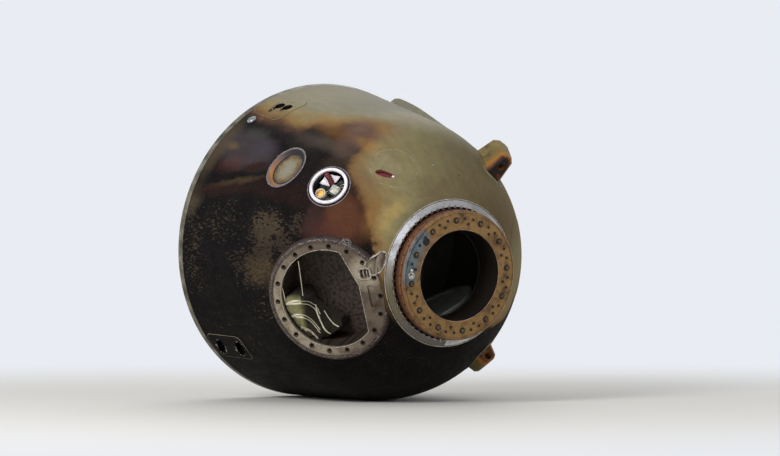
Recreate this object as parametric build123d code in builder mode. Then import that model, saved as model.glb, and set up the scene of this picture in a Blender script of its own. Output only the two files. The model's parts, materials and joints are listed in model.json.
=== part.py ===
from build123d import *
import os
from math import cos, radians, sin, sqrt, tan

os.makedirs("parts", exist_ok=True)

# A crew re-entry capsule after landing, in millimetres. It is a bell: a cone wall, a round dome and a
# hatch ring on top. Pieces are modelled with the bell upright, +Z from the base rim towards the hatch,
# and are then laid down on the cone wall, as the capsule lies after it has tipped over.
# A bearing is an angle round the bell's axis: 0 is the side that lies uppermost, 90 the near side.

# Overall form
base_radius = 1250.0
cone_angle = 7.0
dome_share = 0.904
wall = 40.0
seat_gap = 0.3

# Base rim and bulkhead
rim_height = 55.0
rim_width = 66.0
rim_bolt_inset = 38.0
rim_bolt_count = 24
rim_bolt_hole = 9.0
bulkhead_z = 120.0
bulkhead_thick = 24.0
rib_count = 12
rib_height = 46.0
rib_thick = 14.0
rib_hub_radius = 230.0
motor_circle = 640.0
motor_radius = 125.0
motor_height = 96.0
motor_bearings = (45.0, 135.0, 225.0, 315.0)
altimeter_radius = 150.0
altimeter_height = 70.0

# Hatch ring on top of the dome
collar_radius = 562.0
collar_rise = 96.5
collar_lip = 8.0
collar_flare = 80.0
band_seat_depth = 22.0
band_width = 46.0
band_rise = 28.0
frame_radius = 486.0
frame_rise = 152.0
frame_wall = 14.0
frame_ridge = 5.0
frame_ridge_drop = 92.0
face_thick = 26.0
tunnel_radius = 344.0
tunnel_length = 265.0
clip_count = 60
clip_length = 22.0
face_bolt_radius = 420.0
face_bolt_hole = 8.0
face_bolt_count = 12
face_bolt_start = 8.0
dowel_radius = 392.0
dowel_hole = 6.0
seal_width = 18.0
seal_height = 9.0

# Hatch cover, which opens inwards
cover_radius = 372.0
cover_thick = 34.0
cover_rib = 20.0
cover_gap = 5.0
hinge_bearing = 210.0
hinge_radius = 412.0
hinge_drop = 62.0
hinge_pin = 9.0
hinge_pin_gap = 0.05
open_angle = 100.0

# Main parachute compartment
chute_bearing = 107.7
chute_colatitude = 51.5
chute_sink = 88.0
chute_opening = 385.0
chute_flange_radius = 452.0
chute_flange_thick = 22.0
chute_bolt_radius = 418.0
chute_bolt_count = 18
chute_bolt_start = 18.0
chute_bolt_hole = 15.0
chute_rim_radius = 494.0
chute_rim_rise = 12.0
chute_can_wall = 10.0
chute_depth = 342.0
chord_offset = 262.0
corner_offset = 273.0
corner_turn = 20.0
recess_centre = (352.0, -10.0)
recess_size = (52.0, 172.0)
recess_depth = 14.0
pack_inset = 232.0
pack_hollow = 300.0
pack_drop = 60.0
pocket_centre = (331.0, 170.0)
pocket_size = (88.0, 84.0)
pocket_depth = 70.0
channel_bearing = 83.5
channel_colatitude = 31.3
channel_turn = 40.0
channel_centre = (26.0, 0.0)
channel_size = (200.0, 122.0)
channel_corner = 44.0
channel_end_radius = 574.0
channel_wall = 6.0
channel_depth = 30.0
channel_rise = 5.0
channel_lip = 4.0
hatch_zone_radius = 566.0

# Reserve parachute cover
reserve_bearing = 275.0
reserve_colatitude = 50.0
reserve_radius = 300.0

# Side windows
window_drop = 56.0
window_bearings = {"near": 52.5, "far": 232.5}
window_radius = 185.0
window_clear_radius = 142.0
window_set_back = 6.0
window_depth = 46.0
pane_thick = 12.0

# Sight port
sight_bearing = 52.8
sight_colatitude = 60.8
sight_hole = 166.0
sight_ring_radius = 152.0
sight_bore = 128.0
sight_depth = 170.0

# Scooped round cover
scoop_bearing = 24.5
scoop_colatitude = 47.9
scoop_radius = 182.0
scoop_dish_radius = 170.0
scoop_dish_depth = 24.0
scoop_dish_centre = (8.0, -28.0)
scoop_hole = (76.0, 34.0)
scoop_hole_centre = (13.0, -88.0)
scoop_hole_turn = 42.0
scoop_hole_depth = 33.0

# Vent hole, a small drilled hole in the dome
vent_bearing = 346.3
vent_colatitude = 40.6
vent_radius = 6.0

# Thruster panels on the cone wall
panel_rise = 5.0
panel_corner = 60.0
panel_depth = 100.0
nozzle_bore = 42.0
nozzle_tilt = 50.0
nozzle_depth = 84.0
mouth_size = (94.0, 50.0)
mouth_turn = 50.0
mouth_depth = 33.0

# Cabin
bay_height = 190.0
bay_inset = 390.0
bay_centre = (-225.0, 54.5)
seat_length = 1120.0
seat_width = 440.0
seat_shell = 36.0
seat_spacing = 470.0
seat_back = 150.0
console_width = 640.0
console_outline = ((900, 860), (1150, 860), (1150, 1290), (800, 1290), (740, 1170))

# Fairing over the cables on the cone wall
hump_bearing = 330.5
hump_width = 190.0
hump_start = 120.0
hump_length = 810.0
hump_nose = 95.0
hump_rise = 58.0

# Values that follow from those above: the dome meets the cone wall smoothly at the tangent height
lean = radians(cone_angle)
dome_radius = base_radius * dome_share
tangent_z = (base_radius - dome_radius * cos(lean)) / tan(lean)
dome_z = tangent_z - dome_radius * sin(lean)
rim_bolt_radius = base_radius - rim_bolt_inset
collar_top = dome_z + sqrt(dome_radius**2 - collar_radius**2) + collar_rise
frame_top = collar_top + frame_rise
tunnel_bottom = frame_top - tunnel_length
chute_face = dome_radius - chute_sink
window_z = tangent_z - window_drop
bay_radius = base_radius - bay_inset


def cone_radius(z, depth=0.0):
    """Radius of the cone wall at height z, on a surface that lies depth inside its skin."""
    return base_radius - z * tan(lean) - depth / cos(lean)


def dome_height(radius, depth=0.0):
    """Height of the dome above the base rim at a radius, on a surface depth inside its skin."""
    return dome_z + sqrt((dome_radius - depth) ** 2 - radius**2)


def dome_point(colatitude, depth=0.0):
    """Radius and height of a point of the dome, measured from the axis in degrees."""
    reach = dome_radius - depth
    return (reach * sin(radians(colatitude)), dome_z + reach * cos(radians(colatitude)))


def facing(bearing, colatitude, centre_z, distance):
    """A plane whose +Z points out of the skin and whose +X runs up towards the hatch."""
    b, c = radians(bearing), radians(colatitude)
    out = Vector(sin(c) * cos(b), sin(c) * sin(b), cos(c))
    up = Vector(-cos(c) * cos(b), -cos(c) * sin(b), sin(c))
    return Plane(origin=Vector(0, 0, centre_z) + out * distance, x_dir=up, z_dir=out)


def on_dome(bearing, colatitude, rise=0.0):
    return facing(bearing, colatitude, dome_z, dome_radius + rise)


def on_cone(bearing, z, rise=0.0):
    """The same on the cone wall, at height z on its skin."""
    r = cone_radius(z)
    return facing(bearing, 90.0 - cone_angle, z - r * tan(lean), r / cos(lean) + rise)


def half_plane(bearing):
    """The upright plane through the axis at a bearing: its x is the radius and its y the height."""
    b = radians(bearing)
    return Plane(origin=(0, 0, 0), x_dir=(cos(b), sin(b), 0), z_dir=(sin(b), -cos(b), 0))


def profile_on(plane):
    """The upright plane through a feature's own axis, for profiles that are revolved round it."""
    return Plane(origin=plane.origin, x_dir=plane.x_dir, z_dir=-plane.y_dir)


def axis_of(plane):
    return Axis(plane.origin, plane.z_dir)


def body_of_revolution(depth):
    """The whole bell as one solid, bounded by a surface that lies depth inside its skin."""
    start = dome_point(90.0 - cone_angle, depth)
    middle = dome_point((90.0 - cone_angle) / 2, depth)
    top = (0.0, dome_z + dome_radius - depth)
    with BuildPart() as bell:
        with BuildSketch(Plane.XZ):
            with BuildLine():
                Polyline(top, (0, 0), (cone_radius(0.0, depth), 0), start)
                ThreePointArc(start, middle, top)
            make_face()
        revolve(axis=Axis.Z)
    return bell.part


def cut_round(plane, radius, reach=160.0):
    """Cuts a round hole through the wall, along the plane's normal."""
    with BuildSketch(plane.offset(-reach)) as outline:
        Circle(radius)
    extrude(outline.sketch, amount=2 * reach, mode=Mode.SUBTRACT)


def cut_panel(plane, length, width, corner, reach=120.0):
    """Cuts a rounded rectangular hole through the wall, along the plane's normal."""
    with BuildSketch(plane.offset(-reach)) as outline:
        RectangleRounded(length, width, corner)
    extrude(outline.sketch, amount=2 * reach, mode=Mode.SUBTRACT)


def cut_pocket(gap=seat_gap):
    """Cuts the room that the riser pocket takes in the pieces round it."""
    with BuildSketch(chute_plane.offset(8)) as outline:
        with Locations(pocket_centre):
            RectangleRounded(pocket_size[0] + 2 * gap, pocket_size[1] + 2 * gap, 22)
    extrude(outline.sketch, amount=-pocket_depth - gap, mode=Mode.SUBTRACT)


def channel_block(margin, foot, height):
    """The riser channel's outline as a solid block, which ends at the hatch collar's foot."""
    length, width = channel_size
    with BuildPart() as block:
        with BuildSketch(channel_plane.offset(foot)):
            with Locations(channel_centre):
                RectangleRounded(
                    length + 2 * margin,
                    width + 2 * margin,
                    channel_corner + margin,
                    rotation=channel_turn,
                )
        extrude(amount=height)
        with BuildSketch(Plane.XY):
            Circle(channel_end_radius - margin)
        extrude(amount=2 * frame_top, mode=Mode.SUBTRACT)
    return block.part


def cut_channel(gap=seat_gap):
    """Cuts the room that the riser channel takes in the skin."""
    add(channel_block(gap, -channel_depth - gap, channel_depth + 45), mode=Mode.SUBTRACT)


inner_bell = body_of_revolution(wall + seat_gap)
outer_bell = body_of_revolution(-seat_gap)

chute_plane = facing(chute_bearing, chute_colatitude, dome_z, chute_face)
channel_plane = on_dome(channel_bearing, channel_colatitude)
reserve_plane = on_dome(reserve_bearing, reserve_colatitude)
sight_plane = on_dome(sight_bearing, sight_colatitude)
scoop_plane = on_dome(scoop_bearing, scoop_colatitude)
window_planes = {side: on_cone(b, window_z, -window_set_back) for side, b in window_bearings.items()}

# Thruster panels: name, bearing, height on the wall, size, and whether the nozzles are bare bores or sit
# in oval mouths
panel_table = (
    ("thruster_panel_upper_near", 27.0, 250.0, (366.0, 320.0), "bores"),
    ("thruster_panel_lower_near", 131.0, 315.0, (460.0, 230.0), "mouths"),
    ("thruster_panel_upper_far", 300.0, 250.0, (366.0, 320.0), "bores"),
    ("thruster_panel_lower_far", 229.0, 315.0, (460.0, 230.0), "mouths"),
)

# Base ring: the cone wall's lower edge, drilled for the heat shield that has been dropped
with BuildPart() as base_ring:
    with BuildSketch(Plane.XZ):
        with BuildLine():
            Polyline(
                (cone_radius(0.0), 0),
                (cone_radius(rim_height), rim_height),
                (cone_radius(rim_height, rim_width), rim_height),
                (cone_radius(0.0, rim_width), 0),
                close=True,
            )
        make_face()
    revolve(axis=Axis.Z)
    with BuildSketch(Plane.XY):
        with PolarLocations(rim_bolt_radius, rim_bolt_count):
            Circle(rim_bolt_hole)
    extrude(amount=rim_height, mode=Mode.SUBTRACT)

# Cone wall: the pressure shell with its charred covering, cut for the windows and thruster panels
wall_top = dome_point(90.0 - cone_angle)
wall_top_inner = dome_point(90.0 - cone_angle, wall)
with BuildPart() as cone_wall:
    with BuildSketch(Plane.XZ):
        with BuildLine():
            Polyline(
                (cone_radius(rim_height), rim_height),
                wall_top,
                wall_top_inner,
                (cone_radius(rim_height, wall), rim_height),
                close=True,
            )
        make_face()
    revolve(axis=Axis.Z)
    for plane in window_planes.values():
        cut_round(plane, window_radius + seat_gap)
    for name, bearing, height, size, kind in panel_table:
        cut_panel(on_cone(bearing, height), size[0] + 2 * seat_gap, size[1] + 2 * seat_gap, panel_corner + seat_gap)

# Room for the parachute compartment's edging ring, which stops short of the hatch collar
with BuildPart() as rim_room:
    with BuildSketch(chute_plane.offset(-200)):
        Circle(chute_rim_radius + seat_gap)
    extrude(amount=400)
    with BuildSketch(Plane.XY):
        Circle(hatch_zone_radius)
    extrude(amount=2 * frame_top, mode=Mode.SUBTRACT)

# Dome shell: the round upper shell, with the collar that carries the hatch ring
bore = frame_radius + seat_gap
band_seat = collar_top - band_seat_depth
with BuildPart() as dome_shell:
    with BuildSketch(Plane.XZ):
        with BuildLine():
            ThreePointArc(
                wall_top,
                dome_point(55.0),
                (collar_radius, dome_height(collar_radius)),
            )
            Polyline(
                (collar_radius, dome_height(collar_radius)),
                (collar_radius, collar_top),
                (collar_radius - collar_lip, collar_top),
                (collar_radius - collar_lip, band_seat),
                (bore, band_seat),
                (bore, dome_height(bore, wall)),
            )
            ThreePointArc(
                (bore, dome_height(bore, wall)),
                dome_point(55.0, wall),
                wall_top_inner,
            )
            Line(wall_top_inner, wall_top)
        make_face()
        foot = Vector(collar_radius, dome_height(collar_radius))
        corner = [v for v in vertices() if (Vector(v.X, v.Y) - foot).length < 1]
        fillet(corner, collar_flare)
    revolve(axis=Axis.Z)
    add(rim_room.part, mode=Mode.SUBTRACT)
    cut_round(chute_plane, chute_flange_radius + seat_gap, 200.0)
    cut_channel()
    cut_round(reserve_plane, reserve_radius + seat_gap)
    cut_round(scoop_plane, scoop_radius + seat_gap)
    cut_round(sight_plane, sight_hole)
    cut_round(on_dome(vent_bearing, vent_colatitude), vent_radius)
    for plane in window_planes.values():
        cut_round(plane, window_radius + seat_gap)

# Silver band: the bright sloping ring inside the collar's lip
band_outer = collar_radius - collar_lip - seat_gap
with BuildPart() as silver_band:
    with BuildSketch(Plane.XZ):
        with BuildLine():
            Polyline(
                (band_outer - band_width, band_seat),
                (band_outer, band_seat),
                (band_outer, collar_top + 2),
                (band_outer - band_width + 6, collar_top + band_rise),
                (band_outer - band_width, collar_top + band_rise),
                close=True,
            )
        make_face()
    revolve(axis=Axis.Z)

# Clip ring: the row of small clamps between the band and the hatch ring's wall
clip_outer = band_outer - band_width - seat_gap
with BuildPart() as clip_ring:
    with BuildSketch(Plane.XY.offset(band_seat)):
        Circle(clip_outer)
        Circle(frame_radius + seat_gap, mode=Mode.SUBTRACT)
    extrude(amount=band_rise + band_seat_depth - 14)
    with BuildSketch(Plane.XY.offset(collar_top + band_rise - 14)):
        with PolarLocations((clip_outer + frame_radius) / 2, clip_count):
            Rectangle(clip_outer - frame_radius - 4, clip_length)
    extrude(amount=12)

# Hatch ring: outer wall with its two ridges, thick drilled face and the tunnel that the crew climb through
ridge_z = frame_top - frame_ridge_drop
with BuildPart() as hatch_frame:
    with BuildSketch(Plane.XZ):
        with BuildLine():
            Polyline(
                (frame_radius, tunnel_bottom),
                (frame_radius, ridge_z),
                (frame_radius + frame_ridge, ridge_z + 4),
                (frame_radius + frame_ridge, ridge_z + 14),
                (frame_radius, ridge_z + 18),
                (frame_radius, frame_top - 34),
                (frame_radius + frame_ridge, frame_top - 30),
                (frame_radius + frame_ridge, frame_top - 9),
                (frame_radius - 6, frame_top),
                (tunnel_radius, frame_top),
                (tunnel_radius, tunnel_bottom),
                (tunnel_radius + frame_wall, tunnel_bottom),
                (tunnel_radius + frame_wall, frame_top - face_thick),
                (frame_radius - frame_wall, frame_top - face_thick),
                (frame_radius - frame_wall, tunnel_bottom),
                close=True,
            )
        make_face()
    revolve(axis=Axis.Z)
    with BuildSketch(Plane.XY.offset(frame_top - 4)):
        Circle(frame_radius - 10)
        Circle(frame_radius - 20, mode=Mode.SUBTRACT)
    extrude(amount=4, mode=Mode.SUBTRACT)
    with BuildSketch(Plane.XY.offset(frame_top - face_thick)):
        with PolarLocations(face_bolt_radius, face_bolt_count, face_bolt_start):
            Circle(face_bolt_hole)
        with PolarLocations(dowel_radius, face_bolt_count, face_bolt_start + 15):
            Circle(dowel_hole)
    extrude(amount=face_thick, mode=Mode.SUBTRACT)

# Hatch seal: a rubber ring under the tunnel, which the cover closes against
with BuildPart() as hatch_seal:
    with BuildSketch(Plane.XY.offset(tunnel_bottom - seal_height)):
        Circle(tunnel_radius + frame_wall)
        Circle(tunnel_radius + frame_wall - seal_width, mode=Mode.SUBTRACT)
    extrude(amount=seal_height)

# Hatch cover, drawn closed: a dished disc with a ribbed inner side
cover_top = tunnel_bottom - seal_height - cover_gap
with BuildPart() as hatch_cover:
    with BuildSketch(Plane.XY.offset(cover_top - cover_thick)):
        Circle(cover_radius)
    extrude(amount=cover_thick)
    fillet(edges().group_by(Axis.Z)[0], 10)
    with BuildSketch(Plane.XY.offset(cover_top - cover_thick)):
        with PolarLocations(cover_radius * 0.5, 6, hinge_bearing):
            Rectangle(cover_radius * 0.8, 16)
        Circle(cover_radius * 0.22)
    extrude(amount=-cover_rib)
    with BuildSketch(Plane.XY.offset(cover_top)):
        Circle(tunnel_radius - 30)
    extrude(amount=-12, mode=Mode.SUBTRACT)

# Hatch wheel: the handwheel on the cover's inner side
wheel_z = cover_top - cover_thick - cover_rib
with BuildPart() as hatch_wheel:
    with BuildSketch(Plane.XY.offset(wheel_z - 46)):
        Circle(22)
    extrude(amount=46)
    with BuildSketch(Plane.XY.offset(wheel_z - 46)):
        Circle(110)
        Circle(92, mode=Mode.SUBTRACT)
        with PolarLocations(58, 3, hinge_bearing):
            Rectangle(78, 14)
    extrude(amount=16)

# Hatch hinge: a fixed bracket on the ring, a pin, and the arm that carries the cover
hinge_z = cover_top - hinge_drop
side_plane = half_plane(hinge_bearing)
with BuildPart() as hinge_bracket:
    for shift in (-38.0, 38.0):
        with BuildSketch(side_plane.offset(shift - 9)):
            with BuildLine():
                Polyline(
                    (frame_radius - frame_wall, tunnel_bottom),
                    (hinge_radius - 22, tunnel_bottom),
                    (hinge_radius - 22, hinge_z),
                    (hinge_radius + 22, hinge_z - 22),
                    (frame_radius, tunnel_bottom - 40),
                    (frame_radius, tunnel_bottom),
                    close=True,
                )
            make_face()
        extrude(amount=18)
    with BuildSketch(side_plane.offset(-47)):
        with Locations((hinge_radius, hinge_z)):
            Circle(hinge_pin)
    extrude(amount=94)

with BuildPart() as hinge_arm:
    with BuildSketch(side_plane.offset(-26)):
        with Locations((hinge_radius, hinge_z)):
            Circle(20)
        with BuildLine():
            Polyline(
                (hinge_radius - 16, hinge_z + 12),
                (hinge_radius + 4, hinge_z - 20),
                (cover_radius - 60, cover_top - cover_thick - 40),
                (cover_radius - 60, cover_top - cover_thick - cover_rib),
                (cover_radius - 20, cover_top - cover_thick - cover_rib),
                close=True,
            )
        make_face()
    extrude(amount=52)
    with BuildSketch(side_plane.offset(-47)):
        with Locations((hinge_radius, hinge_z)):
            Circle(hinge_pin + hinge_pin_gap)
    extrude(amount=94, mode=Mode.SUBTRACT)

# Base bulkhead: the pressure floor, with its ribs on the outside
bulkhead_radius = cone_radius(bulkhead_z + bulkhead_thick, wall + seat_gap)
with BuildPart() as base_bulkhead:
    with BuildSketch(Plane.XZ):
        with BuildLine():
            Polyline(
                (0, bulkhead_z),
                (cone_radius(bulkhead_z, wall + seat_gap), bulkhead_z),
                (bulkhead_radius, bulkhead_z + bulkhead_thick),
                (0, bulkhead_z + bulkhead_thick),
                close=True,
            )
        make_face()
    revolve(axis=Axis.Z)
    rib_reach = motor_circle - motor_radius - 12
    rib_outer = cone_radius(bulkhead_z, wall + 4)
    with BuildSketch(Plane.XY.offset(bulkhead_z)):
        with PolarLocations((rib_hub_radius + rib_outer) / 2, rib_count):
            Rectangle(rib_outer - rib_hub_radius, rib_thick)
        Circle(rib_hub_radius)
        Circle(rib_hub_radius - rib_thick, mode=Mode.SUBTRACT)
        Circle(rib_reach)
        Circle(rib_reach - rib_thick, mode=Mode.SUBTRACT)
        with PolarLocations(motor_circle, 4, motor_bearings[0]):
            Circle(motor_radius + seat_gap, mode=Mode.SUBTRACT)
    extrude(amount=-rib_height)


def landing_motor(bearing):
    """A soft-landing motor: a stub cylinder with a ring of canted nozzle mouths in its face."""
    b = radians(bearing)
    with BuildPart() as motor:
        with BuildSketch(
            Plane(
                origin=(motor_circle * cos(b), motor_circle * sin(b), bulkhead_z),
                x_dir=(cos(b), sin(b), 0),
                z_dir=(0, 0, -1),
            )
        ):
            Circle(motor_radius)
        extrude(amount=motor_height)
        face = motor.faces().sort_by(Axis.Z)[0]
        fillet(face.edges(), 16)
        with BuildSketch(
            Plane(
                origin=(motor_circle * cos(b), motor_circle * sin(b), bulkhead_z - motor_height),
                x_dir=(cos(b), sin(b), 0),
                z_dir=(0, 0, 1),
            )
        ):
            with PolarLocations(72, 6):
                Circle(22)
            Circle(26)
        extrude(amount=34, mode=Mode.SUBTRACT)
    return motor


motors = {f"landing_motor_{i + 1}": landing_motor(b) for i, b in enumerate(motor_bearings)}

# Altimeter: the flat drum in the middle of the bulkhead that measured the height above ground
with BuildPart() as altimeter:
    with BuildSketch(Plane.XY.offset(bulkhead_z)):
        Circle(altimeter_radius)
    extrude(amount=-altimeter_height)
    fillet(faces().sort_by(Axis.Z)[0].edges(), 12)

# Equipment bay: the plain heavy block under the seats, set towards the side that the capsule lies on
bay_base = bulkhead_z + bulkhead_thick
bay_top = bay_base + bay_height
with BuildPart() as equipment_bay:
    with BuildSketch(Plane.XY.offset(bay_base)):
        with Locations(bay_centre):
            Circle(bay_radius)
    extrude(amount=bay_height)


def crew_seat(shift):
    """A moulded couch shell on the bay: a dished back with raised sides and a head end."""
    half = seat_width / 2
    with BuildPart() as seat:
        with BuildSketch(Plane.YZ.offset(-seat_length / 2)):
            with BuildLine():
                Polyline(
                    (shift - half, bay_top),
                    (shift + half, bay_top),
                    (shift + half, bay_top + seat_back),
                    (shift + half - seat_shell, bay_top + seat_back),
                    (shift + half - seat_shell - 50, bay_top + seat_shell),
                    (shift - half + seat_shell + 50, bay_top + seat_shell),
                    (shift - half + seat_shell, bay_top + seat_back),
                    (shift - half, bay_top + seat_back),
                    close=True,
                )
            make_face()
        extrude(amount=seat_length)
        with BuildSketch(Plane.XZ.offset(-shift - half)):
            with BuildLine():
                Polyline(
                    (seat_length / 2 - seat_shell, bay_top),
                    (seat_length / 2, bay_top),
                    (seat_length / 2, bay_top + seat_back),
                    (seat_length / 2 - seat_shell, bay_top + seat_back),
                    close=True,
                )
            make_face()
        extrude(amount=seat_width)
    return seat


def seat_pad(shift):
    """The padded liner of one couch."""
    inside = seat_width / 2 - seat_shell - 52
    with BuildPart() as pad:
        with BuildSketch(Plane.XY.offset(bay_top + seat_shell + seat_gap)):
            with Locations((-seat_shell / 2, shift)):
                RectangleRounded(seat_length - seat_shell - 60, 2 * inside, 60)
        extrude(amount=60)
        fillet(faces().sort_by(Axis.Z)[-1].edges(), 20)
    return pad


seat_table = (("seat_near", seat_spacing), ("seat_middle", 0.0), ("seat_far", -seat_spacing))
seats = {name: crew_seat(shift) for name, shift in seat_table}
pads = {f"{name}_pad": seat_pad(shift) for name, shift in seat_table}

# Instrument panel: a console seated against the cabin wall, in front of the crew
with BuildPart() as instrument_panel:
    with BuildSketch(half_plane(0.0).offset(-console_width / 2)):
        with BuildLine():
            Polyline(*console_outline, close=True)
        make_face()
    extrude(amount=console_width)
    add(inner_bell, mode=Mode.INTERSECT)

# Room for the collar's foot, outside the flange, where the edging ring is left away
with BuildPart() as collar_room:
    with BuildSketch(Plane.XY):
        Circle(hatch_zone_radius + seat_gap)
    extrude(amount=frame_top)
    with BuildSketch(chute_plane.offset(-2 * chute_face)):
        Circle(chute_flange_radius + seat_gap)
    extrude(amount=4 * chute_face, mode=Mode.SUBTRACT)

# Main parachute compartment: a dark edging ring, a drilled flange and a deep open can
ring_height = sqrt(dome_radius**2 - chute_rim_radius**2) - chute_face
ring_foot = sqrt((dome_radius - wall) ** 2 - chute_rim_radius**2) - chute_face
can_outer = chute_opening + chute_can_wall
can_top = -chute_flange_thick
can_floor = -chute_depth
with BuildPart() as chute_rim:
    with BuildSketch(profile_on(chute_plane)):
        with BuildLine():
            Polyline(
                (chute_flange_radius + seat_gap, can_top),
                (chute_flange_radius + seat_gap, chute_rim_rise),
                (chute_flange_radius + 16, chute_rim_rise),
                (chute_rim_radius, ring_height + 6),
                (chute_rim_radius, ring_foot),
                (can_outer + seat_gap, ring_foot),
                (can_outer + seat_gap, can_top),
                close=True,
            )
        make_face()
    revolve(axis=axis_of(chute_plane))
    with BuildSketch(Plane.XY):
        Circle(frame_radius + seat_gap)
    extrude(amount=frame_top, mode=Mode.SUBTRACT)
    add(collar_room.part, mode=Mode.SUBTRACT)
    cut_pocket()
    cut_channel()


def mouth_outline(margin):
    """The compartment's outline: round, but closed off towards the hatch beyond two chords."""
    with BuildSketch() as outline:
        Circle(chute_opening + margin)
        for turn, reach in ((0.0, chord_offset), (corner_turn, corner_offset)):
            across = (reach + margin) * Vector(cos(radians(turn)), sin(radians(turn)))
            with Locations(Location(across, (0, 0, turn))):
                Rectangle(
                    2 * chute_opening,
                    4 * chute_opening,
                    align=(Align.MIN, Align.CENTER),
                    mode=Mode.SUBTRACT,
                )
    return outline.sketch


can_inside = mouth_outline(0.0)
can_outside = mouth_outline(chute_can_wall)
with BuildPart() as chute_flange:
    with BuildSketch(chute_plane):
        Circle(chute_flange_radius)
        add(can_inside, mode=Mode.SUBTRACT)
        with PolarLocations(chute_bolt_radius, chute_bolt_count, chute_bolt_start):
            Circle(chute_bolt_hole, mode=Mode.SUBTRACT)
    extrude(amount=-chute_flange_thick)
    with BuildSketch(chute_plane.offset(-recess_depth)):
        with Locations(recess_centre):
            RectangleRounded(*recess_size, 12)
    extrude(amount=2 * recess_depth, mode=Mode.SUBTRACT)
    cut_pocket()
    cut_channel()

with BuildPart() as chute_can:
    with BuildSketch(chute_plane.offset(can_floor)):
        add(can_outside)
    extrude(amount=can_top - can_floor)
    with BuildSketch(chute_plane.offset(can_floor + chute_can_wall)):
        add(can_inside)
    extrude(amount=can_top - can_floor, mode=Mode.SUBTRACT)

# Parachute pack: what is left of the stowed pack, against the lower wall of the can
with BuildPart() as chute_pack:
    with BuildSketch(chute_plane.offset(can_floor + chute_can_wall + seat_gap)):
        Circle(chute_opening - seat_gap)
        with Locations((-pack_inset, -0.65 * pack_inset)):
            Rectangle(chute_opening, chute_opening, rotation=20, mode=Mode.INTERSECT)
        with Locations((pack_hollow / 5, pack_hollow / 5)):
            Circle(pack_hollow, mode=Mode.SUBTRACT)
    extrude(amount=can_top - can_floor - pack_drop)

# Riser pocket: the lined pocket in the flange where the parachute's risers were fastened
pocket_x, pocket_y = pocket_centre
with BuildPart() as riser_pocket:
    with BuildSketch(chute_plane.offset(8)):
        with Locations(pocket_centre):
            RectangleRounded(*pocket_size, 22)
    extrude(amount=-pocket_depth)
    with BuildSketch(chute_plane.offset(8)):
        with Locations(pocket_centre):
            RectangleRounded(pocket_size[0] - 14, pocket_size[1] - 14, 15)
    extrude(amount=-pocket_depth + 8, mode=Mode.SUBTRACT)
    with BuildSketch(chute_plane.offset(8 - pocket_depth)):
        with Locations((pocket_x - 14, pocket_y), (pocket_x + 14, pocket_y)):
            Rectangle(10, pocket_size[1] - 12)
    extrude(amount=pocket_depth - 16)

# Riser channel: the open tray that leads the risers from the pocket towards the hatch collar
with BuildPart() as riser_channel:
    add(channel_block(0, -channel_depth, channel_depth + channel_rise))
    add(
        channel_block(-channel_wall, -channel_depth + channel_wall, channel_depth + channel_rise),
        mode=Mode.SUBTRACT,
    )
    with BuildSketch(chute_plane.offset(channel_lip)):
        Circle(chute_flange_radius + seat_gap)
    extrude(amount=200, mode=Mode.SUBTRACT)
    cut_pocket()

# Reserve parachute cover, still closed
with BuildPart() as reserve_cover:
    with BuildSketch(reserve_plane.offset(-160)):
        Circle(reserve_radius)
    extrude(amount=320)
    add(body_of_revolution(-2.0), mode=Mode.INTERSECT)
    add(body_of_revolution(wall), mode=Mode.SUBTRACT)


def window_frame():
    """A window's frame in its own axes: an outer rim, a burnt inner ring and a ledge for the pane."""
    ledge = window_clear_radius - 10
    with BuildPart() as frame:
        with BuildSketch(Plane.XZ):
            with BuildLine():
                Polyline(
                    (ledge, -window_depth),
                    (window_radius, -window_depth),
                    (window_radius, 0),
                    (window_radius - 10, 0),
                    (window_clear_radius + seat_gap, -21),
                    (window_clear_radius + seat_gap, -window_depth + 12),
                    (ledge, -window_depth + 12),
                    close=True,
                )
            make_face()
        revolve(axis=Axis.Z)
    return frame.part


def window_pane():
    with BuildPart() as pane:
        with BuildSketch(Plane.XY.offset(-window_depth + 12)):
            Circle(window_clear_radius)
        extrude(amount=pane_thick)
    return pane.part


# Sight port: a white ring round a deep recess that holds valves and a grey block
with BuildPart() as sight_housing:
    with BuildSketch(profile_on(sight_plane)):
        with BuildLine():
            Polyline(
                (0, -sight_depth),
                (sight_ring_radius, -sight_depth),
                (sight_ring_radius, -44),
                (sight_hole - seat_gap, -44),
                (sight_hole - seat_gap, -30),
                (sight_ring_radius, -30),
                (sight_ring_radius, -10),
                (sight_bore, -10),
                (sight_bore, -sight_depth + 10),
                (0, -sight_depth + 10),
                close=True,
            )
        make_face()
    revolve(axis=axis_of(sight_plane))

with BuildPart() as sight_ring:
    with BuildSketch(sight_plane.offset(-10)):
        Circle(sight_ring_radius)
        Circle(sight_bore, mode=Mode.SUBTRACT)
    extrude(amount=16)
    fillet(faces().sort_by(axis_of(sight_plane))[-1].edges(), 5)

sight_floor = -sight_depth + 10
with BuildPart() as sight_valve:
    with BuildSketch(sight_plane.offset(sight_floor)):
        with Locations((-50, -70)):
            Circle(20)
    extrude(amount=60)
    with BuildSketch(sight_plane.offset(sight_floor + 60)):
        with Locations((-50, -70)):
            Circle(38)
    extrude(amount=46)

with BuildPart() as sight_block:
    with BuildSketch(sight_plane.offset(sight_floor)):
        with Locations((29, 14)):
            RectangleRounded(78, 70, 10)
    extrude(amount=92)

with BuildPart() as sight_tube:
    with BuildSketch(sight_plane.offset(sight_floor)):
        with Locations((-68, 63)):
            SlotOverall(60, 34, rotation=-27)
    extrude(amount=120)

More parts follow.
